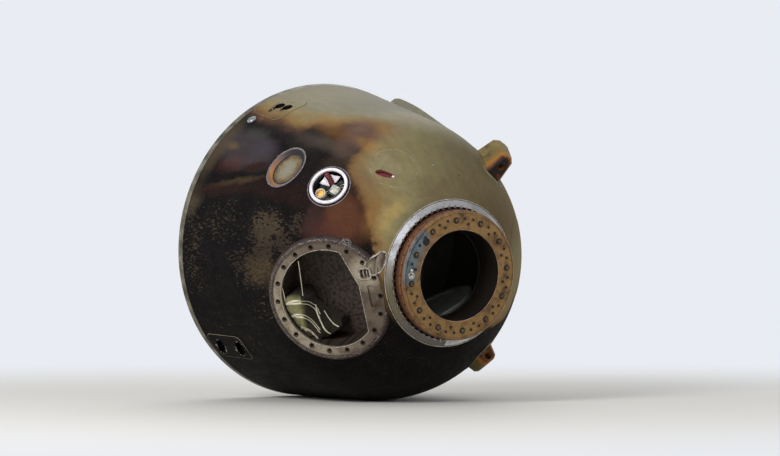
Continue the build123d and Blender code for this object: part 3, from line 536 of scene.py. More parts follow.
# %% The pattern of the scorched skin
OLIVE_EDGE = (
    (0.0, 35), (0.3, 35.5), (0.55, 35), (0.75, 33), (0.9, 29), (1.05, 24), (1.17, 18), (1.27, 16),
    (1.36, 22), (1.45, 34), (1.55, 43), (1.65, 47), (1.75, 52), (1.84, 68), (1.92, 88), (2.1, 96),
)
OLIVE_EDGE_FAR = (
    (0.0, 62), (0.5, 60), (0.9, 58), (1.2, 66), (1.5, 86), (1.8, 130), (2.1, 150),
)
TINTS = (
    # bearing, height, half arc, half height, turn, softness, strength, colour
    (50, 0.42, 0.150, 0.36, -4, 0.35, 0.78, "#40383A"),
    (43, 0.40, 0.050, 0.13, 0, 0.60, 0.30, "#38443A"),
    (48, 0.58, 0.060, 0.12, 0, 0.70, 0.28, "#3E3A4E"),
    (58, 0.36, 0.060, 0.13, 8, 0.70, 0.40, "#54332B"),
    (51, 0.24, 0.030, 0.07, 0, 0.70, 0.45, "#6E5636"),
    (52, 0.09, 0.230, 0.09, 0, 0.60, 0.62, "#524636"),
    (74, 0.10, 0.090, 0.09, 0, 0.60, 0.55, "#4E4436"),
    (56, 0.66, 0.030, 0.14, 18, 0.50, 0.85, "#26120B"),
    (64, 0.52, 0.026, 0.30, 17, 0.60, 0.70, "#4A3A28"),
    (68, 0.40, 0.045, 0.36, 12, 0.60, 0.80, "#241310"),
    (37.5, 0.50, 0.035, 0.30, -8, 0.50, 0.90, "#15100D"),
    (41, 0.95, 0.055, 0.28, -6, 0.50, 0.75, "#1C1612"),
    (37, 1.00, 0.055, 0.24, -4, 0.80, 0.55, "#4A4038"),
    (50, 1.23, 0.260, 0.09, 0, 0.50, 0.92, "#120C0A"),
    (61, 1.30, 0.100, 0.16, 0, 0.50, 0.90, "#1A0D0A"),
    (63, 1.00, 0.060, 0.28, 0, 0.60, 0.85, "#1C0D0A"),
    (43, 1.40, 0.140, 0.10, 0, 0.60, 0.75, "#2E2620"),
    (95, 1.10, 0.090, 0.16, 0, 0.80, 0.40, "#54462F"),
    (36, 1.20, 0.055, 0.15, 0, 0.60, 0.70, "#473D34"),
    (22, 1.30, 0.200, 0.11, -10, 0.60, 0.75, "#6C5244"),
    (33, 1.36, 0.110, 0.09, 0, 0.60, 0.60, "#57463C"),
    (20, 1.17, 0.120, 0.09, 0, 0.60, 0.60, "#74594A"),
    (26, 1.42, 0.055, 0.10, 0, 0.80, 0.50, "#94703F"),
    (14, 1.31, 0.060, 0.09, 0, 0.80, 0.50, "#8F713F"),
    (28, 1.00, 0.075, 0.22, -8, 0.70, 0.55, "#7A542F"),
    (24, 0.88, 0.060, 0.16, -8, 0.80, 0.40, "#9A7D45"),
    (64, 1.66, 0.240, 0.13, 8, 0.45, 0.95, "#50301F"),
    (73, 1.56, 0.100, 0.12, 0, 0.60, 0.75, "#4A2822"),
    (70, 1.47, 0.150, 0.06, 0, 0.60, 0.75, "#35211D"),
    (55, 1.79, 0.200, 0.035, 6, 0.80, 0.55, "#7E5A30"),
    (48, 1.85, 0.240, 0.030, 0, 0.80, 0.60, "#A08952"),
    (40, 1.62, 0.060, 0.10, 0, 0.80, 0.40, "#6E5644"),
    (28, 1.62, 0.120, 0.12, 0, 0.80, 0.35, "#8A8870"),
    (-8, 1.15, 0.260, 0.16, 0, 0.80, 0.45, "#A79B86"),
    (10, 0.30, 0.300, 0.28, 0, 0.80, 0.40, "#9A9078"),
    (-62, 1.55, 0.260, 0.22, 0, 0.80, 0.60, "#5B4526"),
    (-48, 1.86, 0.400, 0.10, 0, 0.80, 0.60, "#54452A"),
    (95, 1.95, 0.500, 0.05, 0, 0.80, 0.50, "#6A5634"),
)
FLAKES = (
    # brown that shows through the black in flakes: bearing, height, half arc, half height, amount
    (78, 1.08, 0.150, 0.19, 1.15),
    (88, 1.08, 0.130, 0.15, 1.10),
    (82, 1.24, 0.120, 0.12, 1.00),
    (95, 0.98, 0.130, 0.26, 0.90),
    (72, 1.36, 0.090, 0.08, 0.90),
    (80, 0.52, 0.130, 0.26, 0.45),
    (80, 0.10, 0.110, 0.08, 0.85),
    (92, 0.16, 0.300, 0.14, 0.50),
    (112, 1.12, 0.160, 0.18, 0.35),
    (125, 0.60, 0.200, 0.30, 0.15),
    (-130, 0.90, 0.700, 0.40, 0.45),
    (-110, 0.40, 0.400, 0.30, 0.40),
)
BORE_EDGE = (-0.0035, -0.001)  # metres under the skin between which a bore's edge turns black
BORE_SOOT = (
    # bearing from the panel's middle, height, half arc, half height
    (2.9, 0.238, 0.040, 0.024),
    (0.9, 0.328, 0.032, 0.024),
)
dark_tints = [row for row in TINTS if row[1] < 1.45 and row[0] > 34]
olive_tints = [row for row in TINTS if row not in dark_tints]
TALL = 2.1  # height of the edges' last rows
OLIVE_STOPS = [
    (0.02, "#2A1D1A"), (0.10, "#43302A"), (0.16, "#5C412C"), (0.215, "#7C6139"), (0.29, "#877650"),
    (0.40, "#857F69"), (0.62, "#827F6C"), (1.00, "#7E7B6A"),
]
DOME_STOPS = [
    (0.04, "#4A3022"), (0.16, "#6E5433"), (0.30, "#7C6B48"),
    (0.55, "#79704F"), (0.80, "#70674A"), (1.00, "#675C42"),
]
CHAR_STOPS = [(0.30, "#030202"), (0.48, "#070404"), (0.60, "#0D0908"), (0.72, "#080606")]
UNDER_STOPS = [(0.30, "#2C241D"), (0.50, "#352B22"), (0.65, "#423829"), (0.75, "#332B25")]
WALL_INSIDE = 0.0385  # metres under the skin where the wall's inner side lies
# Within this radius of the scooped cover the skin gets no painted depth shade
SCOOP_ROOM = 0.184  # radius round the scooped cover that stays clean
BORE_ROOM = 0.135  # radius round an upper bore's middle that its black edge keeps to
print(len(TINTS), "tints and", len(FLAKES), "flaked patches on the skin")

# %% Tints, bumps and depth


def tinted(tree, places, tone, rows):
    """Each row's colour laid over the tone inside its patch, by its strength."""
    for *place, strength, shade in rows:
        share = sums(tree, "MULTIPLY", patch(tree, places, *place), strength)
        tone = mixed(tree, share, tone, shade)
    return tone


def coated(tree, relief, strength, distance, inputs):
    """Ends a material: one coat with these inputs, and bumps of the relief times a distance in metres."""
    bump = put(tree, "Bump", None, {"Height": relief, "Strength": strength, "Distance": distance})
    coat = put(tree, "BsdfPrincipled", None, {**inputs, "Normal": bump.outputs[0]})
    close_material(tree, coat.outputs[0])


def under_skin(tree, upright):
    """How far a place lies under the bell's skin, from the dome's sphere or from the cone's radius."""
    arm = vectors(tree, "SUBTRACT", upright, (0, 0, DOME_Z))[0]
    in_dome = sums(tree, "SUBTRACT", DOME_RADIUS, vectors(tree, "LENGTH", arm)["Value"])
    height = put(tree, "SeparateXYZ", None, {0: upright}).outputs[2]
    wall = sums(tree, "MULTIPLY_ADD", height, -tan(LEAN), BASE_RADIUS)
    in_wall = sums(tree, "SUBTRACT", wall, axis_distance(tree, upright))
    on_top = sums(tree, "GREATER_THAN", height, TANGENT)
    return put(tree, "Mix", {"data_type": "FLOAT"}, {0: on_top, 2: in_wall, 3: in_dome}).outputs[0]


# %% The charred coat


def skin_material(name):
    """The ablative coat. It is matt char, with a little gloss where resin has flowed."""
    made, tree = new_material(name)
    solid, upright, flat = skin_places(tree)
    loose = wobbled(tree, solid, flat, 3.2, 0.22)
    near = wobbled(tree, solid, flat, 11.0, 0.085)
    fine = wobbled(tree, solid, loose, 26.0, 0.05)

    # How far inside the olive side a place is, in metres along the skin: the nearer of the two edges
    place = put(tree, "SeparateXYZ", None, {0: fine}).outputs
    step = sums(tree, "DIVIDE", place[1], TALL)
    edges = []
    for table, sign in ((OLIVE_EDGE, -1.0), (OLIVE_EDGE_FAR, 1.0)):
        points = [(height / TALL, bearing / 180) for height, bearing in table]
        curve = put(tree, "FloatCurve", None, {"Value": step}, points=points).outputs[0]
        edge = sums(tree, "MULTIPLY", curve, 180 * ARC)
        edges.append(sums(tree, "MULTIPLY_ADD", place[0], sign, edge))
    inside = sums(tree, "MINIMUM", *edges)

    # Black char with a brown underlayer in flakes, stretched along the air stream, and tints on it
    flow = put(tree, "Mapping", None, {"Vector": upright, "Scale": (1.0, 1.0, 0.45)}).outputs[0]
    flakes = noise(tree, flow, 56.0, 6.0, 0.66)
    amount = 0.0
    for *row, share in FLAKES:
        mask = sums(tree, "MULTIPLY", patch(tree, loose, *row, 0, 0.7), share)
        amount = sums(tree, "MAXIMUM", amount, mask)
    limit = sums(tree, "MULTIPLY_ADD", amount, -0.20, 0.64)
    flake = ranged(tree, sums(tree, "SUBTRACT", flakes, limit), -0.015, 0.03, smooth=True)
    broad = noise(tree, solid, 5.0, 4.0)
    tone = mixed(tree, flake, ramp(tree, broad, CHAR_STOPS), ramp(tree, broad, UNDER_STOPS))
    tone = tinted(tree, near, tone, dark_tints)

    # The olive side, whose edge goes through ochre, orange-brown and purple-brown to the char
    olive = ramp(tree, ranged(tree, inside, -0.16, 0.84), OLIVE_STOPS)
    dome = ramp(tree, ranged(tree, inside, -0.20, 1.20), DOME_STOPS)
    sheet = mixed(tree, ranged(tree, place[1], 1.10, 1.55, smooth=True), olive, dome)
    tone = mixed(tree, ranged(tree, inside, -0.10, 0.02, smooth=True), tone, sheet)
    tone = tinted(tree, near, tone, olive_tints)

    # Mottling everywhere, and pale ash specks a few millimetres across
    mottle = noise(tree, flow, 14.0, 8.0, 0.7)
    tone = scaled(tree, tone, ranged(tree, mottle, 0.25, 0.75, 0.78, 1.22))
    specks = noise(tree, solid, 120.0, 3.0, 0.6)
    tone = mixed(tree, ranged(tree, specks, 0.655, 0.72, 0.0, 0.35, smooth=True), tone, "#8F8678")

    # Places deeper under the skin are darkened: painted shade in bores and cut edges, with soot; the scooped
    # cover is left out, and the wall's inner side is lined
    depth = under_skin(tree, upright)
    gap = vectors(tree, "DISTANCE", upright, SCOOP[0].tolist())["Value"]
    beyond = sums(tree, "GREATER_THAN", gap, SCOOP_ROOM)
    soot_and_depth_shade = sums(tree, "MULTIPLY", ranged(tree, depth, 0.006, 0.020), beyond)
    # The upper thrusters' bores are black from their very edge, painted shade with soot, and soot runs out of
    # them over the skin
    edge = ranged(tree, depth, *BORE_EDGE)
    for bearing, plane in zip(UPPER, UPPER_PANELS):
        middle = placed((*BORE, 0), plane).tolist()
        close = sums(tree, "LESS_THAN", vectors(tree, "DISTANCE", upright, middle)["Value"], BORE_ROOM)
        soot_and_depth_shade = sums(tree, "MAXIMUM", soot_and_depth_shade, sums(tree, "MULTIPLY", close, edge))
        for shift, *row in BORE_SOOT:
            mask = patch(tree, flat, bearing + shift, *row, 0, 0.35)
            soot_and_depth_shade = sums(tree, "MAXIMUM", soot_and_depth_shade, sums(tree, "MULTIPLY", mask, 0.9))
    tone = mixed(tree, soot_and_depth_shade, tone, "#0B0808")
    tone = mixed(tree, sums(tree, "GREATER_THAN", depth, WALL_INSIDE), tone, "#7C7466")

    rough = ranged(tree, mottle, 0.3, 0.7, 0.58, 0.80)
    relief = sums(tree, "MULTIPLY_ADD", flake, -0.5, mottle)
    coated(tree, relief, 0.35, 0.004, {"Base Color": tone, "Roughness": rough, "Specular IOR Level": 0.08})
    return made


charred_coat = skin_material("ablative_coat_charred")
print("the coat has", len(charred_coat.node_tree.nodes), "nodes")

# %% [markdown]
# The other finishes share one recipe. Blotches and grain, each at its real size in millimetres, choose the
# shade together, and the grain also sets the gloss and a little relief. A stretch along one axis gives the
# streaks of rolled or brushed metal. A finish that follows a feature, such as a burnt window, reads
# distances from its plane.

# %% Worn finishes


def plane_places(tree, upright, plane):
    """Places along a plane's axes by dot products, joined and apart, and the distance from its last axis."""
    origin, *axes = plane
    arm = vectors(tree, "SUBTRACT", upright, origin.tolist())[0]
    parts = [vectors(tree, "DOT_PRODUCT", arm, axis.tolist())["Value"] for axis in axes]
    whole = put(tree, "CombineXYZ", None, dict(enumerate(parts))).outputs[0]
    return whole, parts, axis_distance(tree, whole)


def blotched(tree, places, shades, blotch, grain, stretch=(1, 1, 1)):
    """Shades chosen by two noises, six parts of blotches to four of grain; sizes are in millimetres."""
    run = put(tree, "Mapping", None, {"Vector": places, "Scale": stretch}).outputs[0]
    wide = noise(tree, run, 1000 / blotch, 4.0)
    tight = noise(tree, run, 1000 / grain, 4.0, 0.65)
    total = sums(tree, "MULTIPLY_ADD", wide, 0.6, sums(tree, "MULTIPLY", tight, 0.4))
    shades = shades.split()
    return ramp(tree, total, list(zip(np.linspace(0.36, 0.64, len(shades)).tolist(), shades))), tight


def surfaced(tree, tone, grain, metal, rough, relief, level=0.5):
    """Ends a finish: rough runs from its first to its second value with the grain; relief in millimetres."""
    gloss = ranged(tree, grain, 0.3, 0.7, *rough)
    inputs = {"Base Color": tone, "Metallic": metal, "Roughness": gloss, "Specular IOR Level": level}
    coated(tree, grain, 0.5, relief / 1000, inputs)


def worn(name, shades, blotch, grain, metal, rough, relief, level=0.5):
    """A whole finish: its shades, the sizes of blotches and grain, metal share, roughness and relief."""
    made, tree = new_material(name)
    tone, grains = blotched(tree, skin_places(tree)[1], shades, blotch, grain)
    surfaced(tree, tone, grains, metal, rough, relief, level)
    return made


# Cast alloy, turned at its face and sooty in its pores
rim_metal = worn("cast_alloy_sooty", "#3A362E #5A5548 #7A7566 #8E8A7C", 90, 7, 0.5, (0.45, 0.65), 0.3)
# Primed alloy plate: matt grey-green, handled
bulkhead_alloy = worn("primed_alloy_plate", "#6E726A #80847B #8C9086 #777B70", 160, 12, 0.1, (0.5, 0.65), 0.1)
# Steel casings that fired: tinted brown and grey by their own heat
motor_casing = worn("fired_steel_casing", "#3B3128 #6C5D48 #8C7A60 #6F675C", 70, 8, 0.6, (0.35, 0.55), 0.2)
# White-grey moulded plastic over the altimeter and instruments: matt, slightly grained
instrument_housing = worn("moulded_plastic_pale", "#B9B7AC #C7C5BA #D0CEC4", 200, 2.5, 0.0, (0.5, 0.6), 0.08)
# Sprayed equipment paint: even grey-green with an orange-peel skin
bay_paint = worn("sprayed_equipment_paint", "#838A80 #8E958B #979E94", 220, 4, 0.0, (0.38, 0.5), 0.1)
# Moulded composite shell: smooth, pale, with a faint fibre print
seat_composite = worn("moulded_composite", "#B5B3A8 #C2C0B6 #CCCAC0", 150, 3, 0.0, (0.3, 0.42), 0.05)
# Painted alloy hatch cover, scuffed where boots and hands meet it
cover_paint = worn("painted_alloy_scuffed", "#7D8279 #989D93 #A6AAA0 #8D9188", 120, 6, 0.1, (0.4, 0.55), 0.12)
# Machined hinge steel: bright on the pins, oily grey on the flats
hinge_steel = worn("machined_steel", "#6B6C6C #858686 #9A9B9A", 60, 4, 1.0, (0.28, 0.42), 0.05)
# Moulded rubber: black, matt, with a mould bloom
seal_rubber = worn("moulded_rubber", "#0F0F10 #181818 #222120", 40, 2, 0.0, (0.6, 0.8), 0.1)
# White enamel: glossy, faintly pink where smoke has settled
white_enamel = worn("white_enamel", "#CFC6CC #E4DFE4 #EFECEF", 60, 10, 0.0, (0.22, 0.4), 0.05)
# Blackened lining inside the sight port
port_dark = worn("blackened_lining", "#0B0A0A #161413 #241F1B", 50, 6, 0.2, (0.45, 0.65), 0.2)
# Gilded knob: warm and satin, with a worn rim
gilding = worn("gilded_alloy", "#A97A35 #D8A650 #E8BE6C", 18, 3, 0.9, (0.3, 0.45), 0.05)
# Cream plastic collar of the knob
cream_plastic = worn("cream_plastic", "#CFC2A6 #E3D9C2 #ECE5D3", 25, 3, 0.0, (0.35, 0.5), 0.05)
# Grey die casting with pale oxide
grey_casting = worn("grey_die_casting", "#7A7A70 #9A9A8F #B4B3A8 #C6C4BB", 30, 5, 0.3, (0.4, 0.6), 0.25)
# Red rubber sleeve, dark in its folds
red_sleeve = worn("red_rubber_sleeve", "#3A080C #5C1016 #75202A", 22, 4, 0.0, (0.35, 0.5), 0.15)
# Bright plug of the round fitting
bright_plug = worn("polished_plug", "#6E7276 #8F9396 #B0B3B5", 30, 4, 0.7, (0.32, 0.5), 0.1)
# Studs, claws and springs: zinc-plated steel, grey with bright edges
plated_steel = worn("plated_steel", "#6E6B66 #9B9892 #C4C2BD", 14, 2.5, 0.9, (0.25, 0.45), 0.08)
# Nuts that the smoke browned: dark flats and rubbed edges
smoked_steel = worn("smoked_steel", "#2E261E #5A4A36 #8E7D64", 12, 2.5, 0.8, (0.3, 0.5), 0.08)
# Burnt washers and screw heads: black-brown scale
burnt_steel = worn("burnt_steel_scale", "#0E0A08 #1D1410 #35221A", 12, 3, 0.4, (0.5, 0.7), 0.15)
# Ash and flaked edge coat, pale grey with a lilac cast, brittle
ash_crust = worn("flaked_ash_crust", "#2E2826 #6E6567 #958C90 #4A4341", 9, 3, 0.0, (0.65, 0.85), 1.0, 0.2)
# Worn light edge of alloy, where the coat has chipped off
bare_edge = worn("bare_alloy_edge", "#6F675A #A39C8E #C9C4BA", 20, 4, 0.5, (0.35, 0.55), 0.2)
# Edge of the heat-tinted ring, rubbed to a pinkish bronze
warm_edge = worn("rubbed_bronze_edge", "#4E3A2C #8A6A52 #A98A74", 40, 5, 0.5, (0.35, 0.55), 0.15)
# Seam filler between the coat's blocks: a pale olive line
seam_filler = worn("seam_filler_pale", "#5E5842 #7F795E #A09A80", 60, 8, 0.0, (0.6, 0.75), 0.2, 0.2)
print(len(bpy.data.materials), "materials so far")

# %% [markdown]
# The hatch ring is steel that the fire coloured. Thin oxide films give bronze on most of its face,
# blue-grey where it was hottest on the near side, and rust red on its outer wall. The film follows the
# ring, so the shades are chosen by the distance from the axis, the bearing and the height.

# %% Heat-tinted ring and bright band
WALL_STOPS = [
    (0.05, "#1C130D"), (0.22, "#4A2A1A"), (0.34, "#7A4A2A"), (0.44, "#3A2116"),
    (0.56, "#8B5C33"), (0.68, "#6A3A28"), (0.80, "#4E2E20"), (0.93, "#9A7048"),
]
BAND_SMOKE_AND_SHADE = (
    # bearing, height, half arc, half height, turn, softness, strength, colour
    (150, 2.0, 1.10, 0.4, 0, 0.35, 0.85, "#4E4634"),
    (108, 2.0, 0.50, 0.4, 0, 0.35, 0.65, "#736A50"),
    # The two grey rows below are painted shade, on the band's top and towards its far side
    (0, 2.0, 0.70, 0.4, 0, 0.35, 0.65, "#7F7C7A"),
    (-60, 2.0, 0.90, 0.4, 0, 0.35, 0.50, "#77716A"),
)


def ring_finish():
    """The hatch ring: bronze with a blue-grey sector on its face, banded on its wall, dark in the tunnel."""
    made, tree = new_material("heat_tinted_steel")
    solid, upright, flat = skin_places(tree)
    bronze, grain = blotched(tree, upright, "#37291A #5E4526 #75582F #84673C #654A2B", 70, 8)
    blue, _ = blotched(tree, upright, "#2C353B #46545B #5F6C70 #4B4A45", 45, 7)
    radius = axis_distance(tree, upright)
    height = put(tree, "SeparateXYZ", None, {0: upright}).outputs[2]
    sector = patch(tree, wobbled(tree, solid, flat, 9.0, 0.10), 71, FACE_Z, 0.50, 0.30, 0, 0.12)
    outer = ranged(tree, radius, 0.375, 0.41, 0.25, 1.0, smooth=True)
    face = mixed(tree, sums(tree, "MULTIPLY", sector, outer), bronze, blue)
    # The outer wall, in bands from the clamps up to the face, streaked along the axis
    streak = put(tree, "Mapping", None, {"Vector": upright, "Scale": (1, 1, 0.12)}).outputs[0]
    wavy = sums(tree, "MULTIPLY_ADD", noise(tree, streak, 55.0, 5.0), 0.030, height)
    wall = ramp(tree, ranged(tree, wavy, 2.010, 2.152), WALL_STOPS)
    tone = mixed(tree, ranged(tree, height, 2.124, 2.131), wall, face)
    # The tunnel inside is darker
    tone = mixed(tree, ranged(tree, radius, 0.352, 0.346), tone, "#231D18")
    surfaced(tree, tone, grain, 0.55, (0.40, 0.62), 0.25)
    return made


def band_finish():
    """Rolled bright steel, mirror-like once, now hazed by smoke towards its low side, with painted shade on
    its top.
    """
    made, tree = new_material("rolled_bright_steel")
    solid, upright, flat = skin_places(tree)
    tone, grain = blotched(tree, upright, "#8F8D8C #B9B9BC #D2D2D6 #C0C0C3", 120, 14)
    tone = tinted(tree, wobbled(tree, solid, flat, 7.0, 0.20), tone, BAND_SMOKE_AND_SHADE)
    pits = ranged(tree, noise(tree, solid, 150.0, 3.0), 0.66, 0.72, 0.0, 0.8)
    surfaced(tree, mixed(tree, pits, tone, "#2C241C"), grain, 0.8, (0.30, 0.48), 0.1)
    return made


# Steel coloured by the fire
heat_tinted_steel = ring_finish()
# Bright steel under smoke and painted shade
bright_band = band_finish()
print(len(BAND_SMOKE_AND_SHADE), "patches of smoke on the band")

# %% [markdown]
# The windows, the parachute compartment and the thruster fairings burnt unevenly round themselves, so each
# has a finish in its own plane: along its axis, out from its middle, and to one side.

# %% Finishes that follow a feature
NOZZLE_X = 0.164  # how far up a fairing's nozzle stands
BORE_SCORCH_AND_SHADE_STOPS = [
    (0.10, "#120D0B"), (0.34, "#2A1913"), (0.54, "#4C2A18"),
    (0.72, "#7A4B28"), (0.88, "#9C6E3A"), (0.98, "#7C5430"),
]
PANE_STOPS = [(0.10, "#847D6E"), (0.45, "#7D7560"), (0.62, "#766840"), (0.76, "#644C20"), (0.92, "#2F2114")]
HEAT_STOPS = [
    (0.00, "#70602F"), (0.45, "#7D6128"), (0.76, "#9A6A2C"),
    (0.86, "#7E4A20"), (0.93, "#241611"), (1.00, "#120C0A"),
]


def started(name, plane):
    """A new finish in a plane: its material and tree, upright places, and what plane_places gives."""
    made, tree = new_material(name)
    upright = skin_places(tree)[1]
    return made, tree, upright, *plane_places(tree, upright, plane)


def window_rim_finish(name, plane):
    """Scorched enamel, pale lilac-grey on the face; the bore is scorched, with painted light and shade across
    it.
    """
    made, tree, upright, _, (up, across, _), radius = started(name, plane)
    pale, grain = blotched(tree, upright, "#3B3331 #7A7073 #9A9196 #5D5352", 24, 6)
    # Across the bore the scorch runs from black to orange-brown: painted shade on one side, painted light on
    # the other
    side = sums(tree, "MULTIPLY_ADD", up, 0.6, across)
    scorch_and_shade = ramp(tree, ranged(tree, side, 0.16, -0.20), BORE_SCORCH_AND_SHADE_STOPS)
    tone = mixed(tree, ranged(tree, radius, 0.177, 0.171), pale, scorch_and_shade)
    surfaced(tree, tone, grain, 0.1, (0.45, 0.65), 0.4)
    return made


def pane_finish(name, plane):
    """Silica glass with smoke baked on: cream in the middle, yellow-brown at its edge, with dark specks."""
    made, tree, upright, _, _, radius = started(name, plane)
    cloud = noise(tree, upright, 22.0, 5.0)
    reach = sums(tree, "MULTIPLY_ADD", cloud, 0.09, radius)
    tone = ramp(tree, ranged(tree, reach, 0.03, 0.19), PANE_STOPS)
    specks = ranged(tree, noise(tree, upright, 95.0, 3.0), 0.63, 0.68, 0.0, 0.7)
    surfaced(tree, mixed(tree, specks, tone, "#3A3228"), cloud, 0.0, (0.18, 0.42), 0.1)
    return made


def flange_finish():
    """Machined alloy under a baked-on brown film, with painted light on the side away from the hatch."""
    made, tree, upright, local, (up, across, _), radius = started("machined_alloy_browned", CHUTE)
    dark, grain = blotched(tree, upright, "#2E241D #4C3F34 #66584A #57493C", 110, 9)
    light, _ = blotched(tree, upright, "#5A4F42 #887C69 #A79C88 #7C705E", 110, 9)
    # Painted light: lighter on the side away from the hatch; the land round the riser pocket is lighter too
    away = sums(tree, "SUBTRACT", sums(tree, "MULTIPLY", across, -0.45), up)
    pocket = vectors(tree, "DISTANCE", local, (*RISER_POCKET, 0.0))["Value"]
    lit_side_and_pocket = sums(tree, "MAXIMUM", ranged(tree, away, -0.10, 0.48), ranged(tree, pocket, 0.16, 0.07))
    tone = mixed(tree, lit_side_and_pocket, dark, light)
    # Turned marks: fine rings round the compartment's axis, 7 mm apart so that they show
    rings = put(tree, "TexNoise", {"noise_dimensions": "1D"}, {"W": radius, "Scale": 140.0, "Detail": 2.0})
    tone = scaled(tree, tone, ranged(tree, rings.outputs[0], 0.3, 0.7, 0.86, 1.14))
    surfaced(tree, tone, grain, 0.35, (0.42, 0.6), 0.15)
    return made


def can_finish():
    """Lining of the compartment: brown-black, with streaks straight down its wall from the mouth."""
    made, tree, _, local, *_ = started("streaked_brown_lining", CHUTE)
    tone, grain = blotched(tree, local, "#16100D #241B15 #352A22 #4A3F36 #2B211A", 26, 7, (1, 1, 0.06))
    surfaced(tree, tone, grain, 0.3, (0.42, 0.62), 0.2)
    return made


def edging_finish():
    """Charred edging: black, crumbling to a pale crest round the mouth."""
    made, tree, upright, _, (_, _, depth), _ = started("charred_edging", CHUTE)
    tone, grain = blotched(tree, upright, "#0F0B0A #1E1614 #33261F #251A1B", 40, 7)
    crest = ranged(tree, depth, -0.012, 0.012)
    share = sums(tree, "MULTIPLY", crest, ranged(tree, grain, 0.48, 0.56))
    surfaced(tree, mixed(tree, share, tone, "#6C5F58"), grain, 0.0, (0.6, 0.8), 1.2, 0.25)
    return made


def fairing_finish(name, plane):
    """Coat over a fairing: olive-yellow, orange towards the nozzle's edge and black round the nozzle."""
    made, tree, upright, _, (up, _, height), _ = started(name, plane)
    olive, grain = blotched(tree, upright, "#4C4024 #6B5C36 #80703F #6E6038", 90, 8)
    along = sums(tree, "MULTIPLY_ADD", height, 0.095, up)
    wavy = sums(tree, "MULTIPLY_ADD", noise(tree, upright, 16.0, 4.0), 0.03, along)
    place = ranged(tree, wavy, NOZZLE_X - 0.16, NOZZLE_X + 0.020)
    tone = mixed(tree, ranged(tree, place, 0.15, 0.65), olive, ramp(tree, place, HEAT_STOPS))
    surfaced(tree, tone, grain, 0.0, (0.5, 0.7), 0.6, 0.2)
    return made


THREAD = 0.004  # metres between threads


def canvas_finish(name, shades, painted_shade=None):
    """Plain-woven canvas: two sets of threads at right angles, drawn 4 mm apart so that they show."""
    made, tree, _, local, (up, _, depth), _ = started(name, CHUTE)
    tone, grain = blotched(tree, local, shades, 60, 6)
    if painted_shade:
        # Painted shade darkens the side towards the middle of the compartment, and deepens with the depth
        middle = ranged(tree, up, -0.266, -0.236, 0.0, 0.93)
        low = ranged(tree, depth, -0.040, -0.090, 0.0, 0.97)
        tone = mixed(tree, sums(tree, "MAXIMUM", middle, low), tone, painted_shade)
    inputs = {"Vector": local, "Scale": 1 / (THREAD * 2 * pi) * 2, "Distortion": 1.2, "Detail": 2.0}
    waves = [put(tree, "TexWave", {"wave_type": "BANDS", "bands_direction": way}, inputs) for way in "XY"]
    inputs = {"Factor": 1.0, "A": waves[0].outputs["Color"], "B": waves[1].outputs["Color"]}
    weave = put(tree, "Mix", {"data_type": "RGBA", "blend_type": "MULTIPLY"}, inputs).outputs["Result"]
    height = sums(tree, "MULTIPLY_ADD", weave, 0.5, grain)
    tone = scaled(tree, tone, ranged(tree, height, 0.3, 1.1, 0.82, 1.12))
    inputs = {"Base Color": tone, "Roughness": 0.85, "Sheen Weight": 0.06, "Specular IOR Level": 0.2}
    coated(tree, height, 0.4, 0.0012, inputs)
    return made


# Scorched enamel of the windows' frames
window_rims = {side: window_rim_finish(f"scorched_enamel_{side}", plane) for side, plane in WINDOWS.items()}
# Silica glass under smoke
window_panes = {side: pane_finish(f"smoked_silica_glass_{side}", plane) for side, plane in WINDOWS.items()}
# Machined alloy, browned
flange_alloy = flange_finish()
# Lining of the compartment, streaked brown
can_lining = can_finish()
# Charred edging of the compartment
edging_char = edging_finish()
# Browned coat of the fairings
fairing_coats = {name: fairing_finish(f"{name}_browned_coat", plane) for name, plane in FAIRINGS.items()}
# Olive canvas, with painted shade on one side
olive_canvas = canvas_finish("olive_canvas", "#565236 #6F6A47 #7F7A55 #625E40", "#16120C")
# Woven liner of the couches
seat_weave = canvas_finish("woven_seat_liner", "#70756A #858A7E #90958A")
# Cream webbing
cream_webbing = canvas_finish("cream_webbing", "#B9AF93 #D2CAB2 #DDD6C2")
print(len(bpy.data.materials), "materials in all")

# %% Every CAD node gets its finish
FINISH_OF = {
    "rim_metal": rim_metal,
    "ring_steel": heat_tinted_steel,
    "bright_band": bright_band,
    "seal_rubber": seal_rubber,
    "cover_paint": cover_paint,
    "hinge_steel": hinge_steel,
    "bulkhead_alloy": bulkhead_alloy,
    "motor_casing": motor_casing,
    "instrument_housing": instrument_housing,
    "bay_paint": bay_paint,
    "seat_shell": seat_composite,
    "seat_cloth": seat_weave,
    "flange_alloy": flange_alloy,
    "chute_can_metal": can_lining,
    "edging_char": edging_char,
    "pack_cloth": olive_canvas,
    "port_white": white_enamel,
    "port_dark": port_dark,
    "valve_brass": gilding,
    "block_grey": grey_casting,
    "tube_red": red_sleeve,
    "fitting_bright": bright_plug,
}
own_finish = {**fairing_coats, "clip_ring": burnt_steel}
for side in WINDOWS:
    own_finish[f"window_frame_{side}"] = window_rims[side]
    own_finish[f"window_pane_{side}"] = window_panes[side]
slot_of = {part["node"]: part["material_slot"] for part in frame["record"]["subparts"]}
for name, thing in nodes.items():
    finish = own_finish.get(name) or FINISH_OF.get(slot_of[name], charred_coat)
    thing.data.materials.clear()
    thing.data.materials.append(finish)
print(len(nodes), "solids have a finish")

# %% [markdown]
# The face of the hatch ring is full of fasteners: a dozen large nuts on washers, smaller screws between
# them, one deep socket and a bright plug on the near side. Each kind is one turned profile, repeated at its
# places.

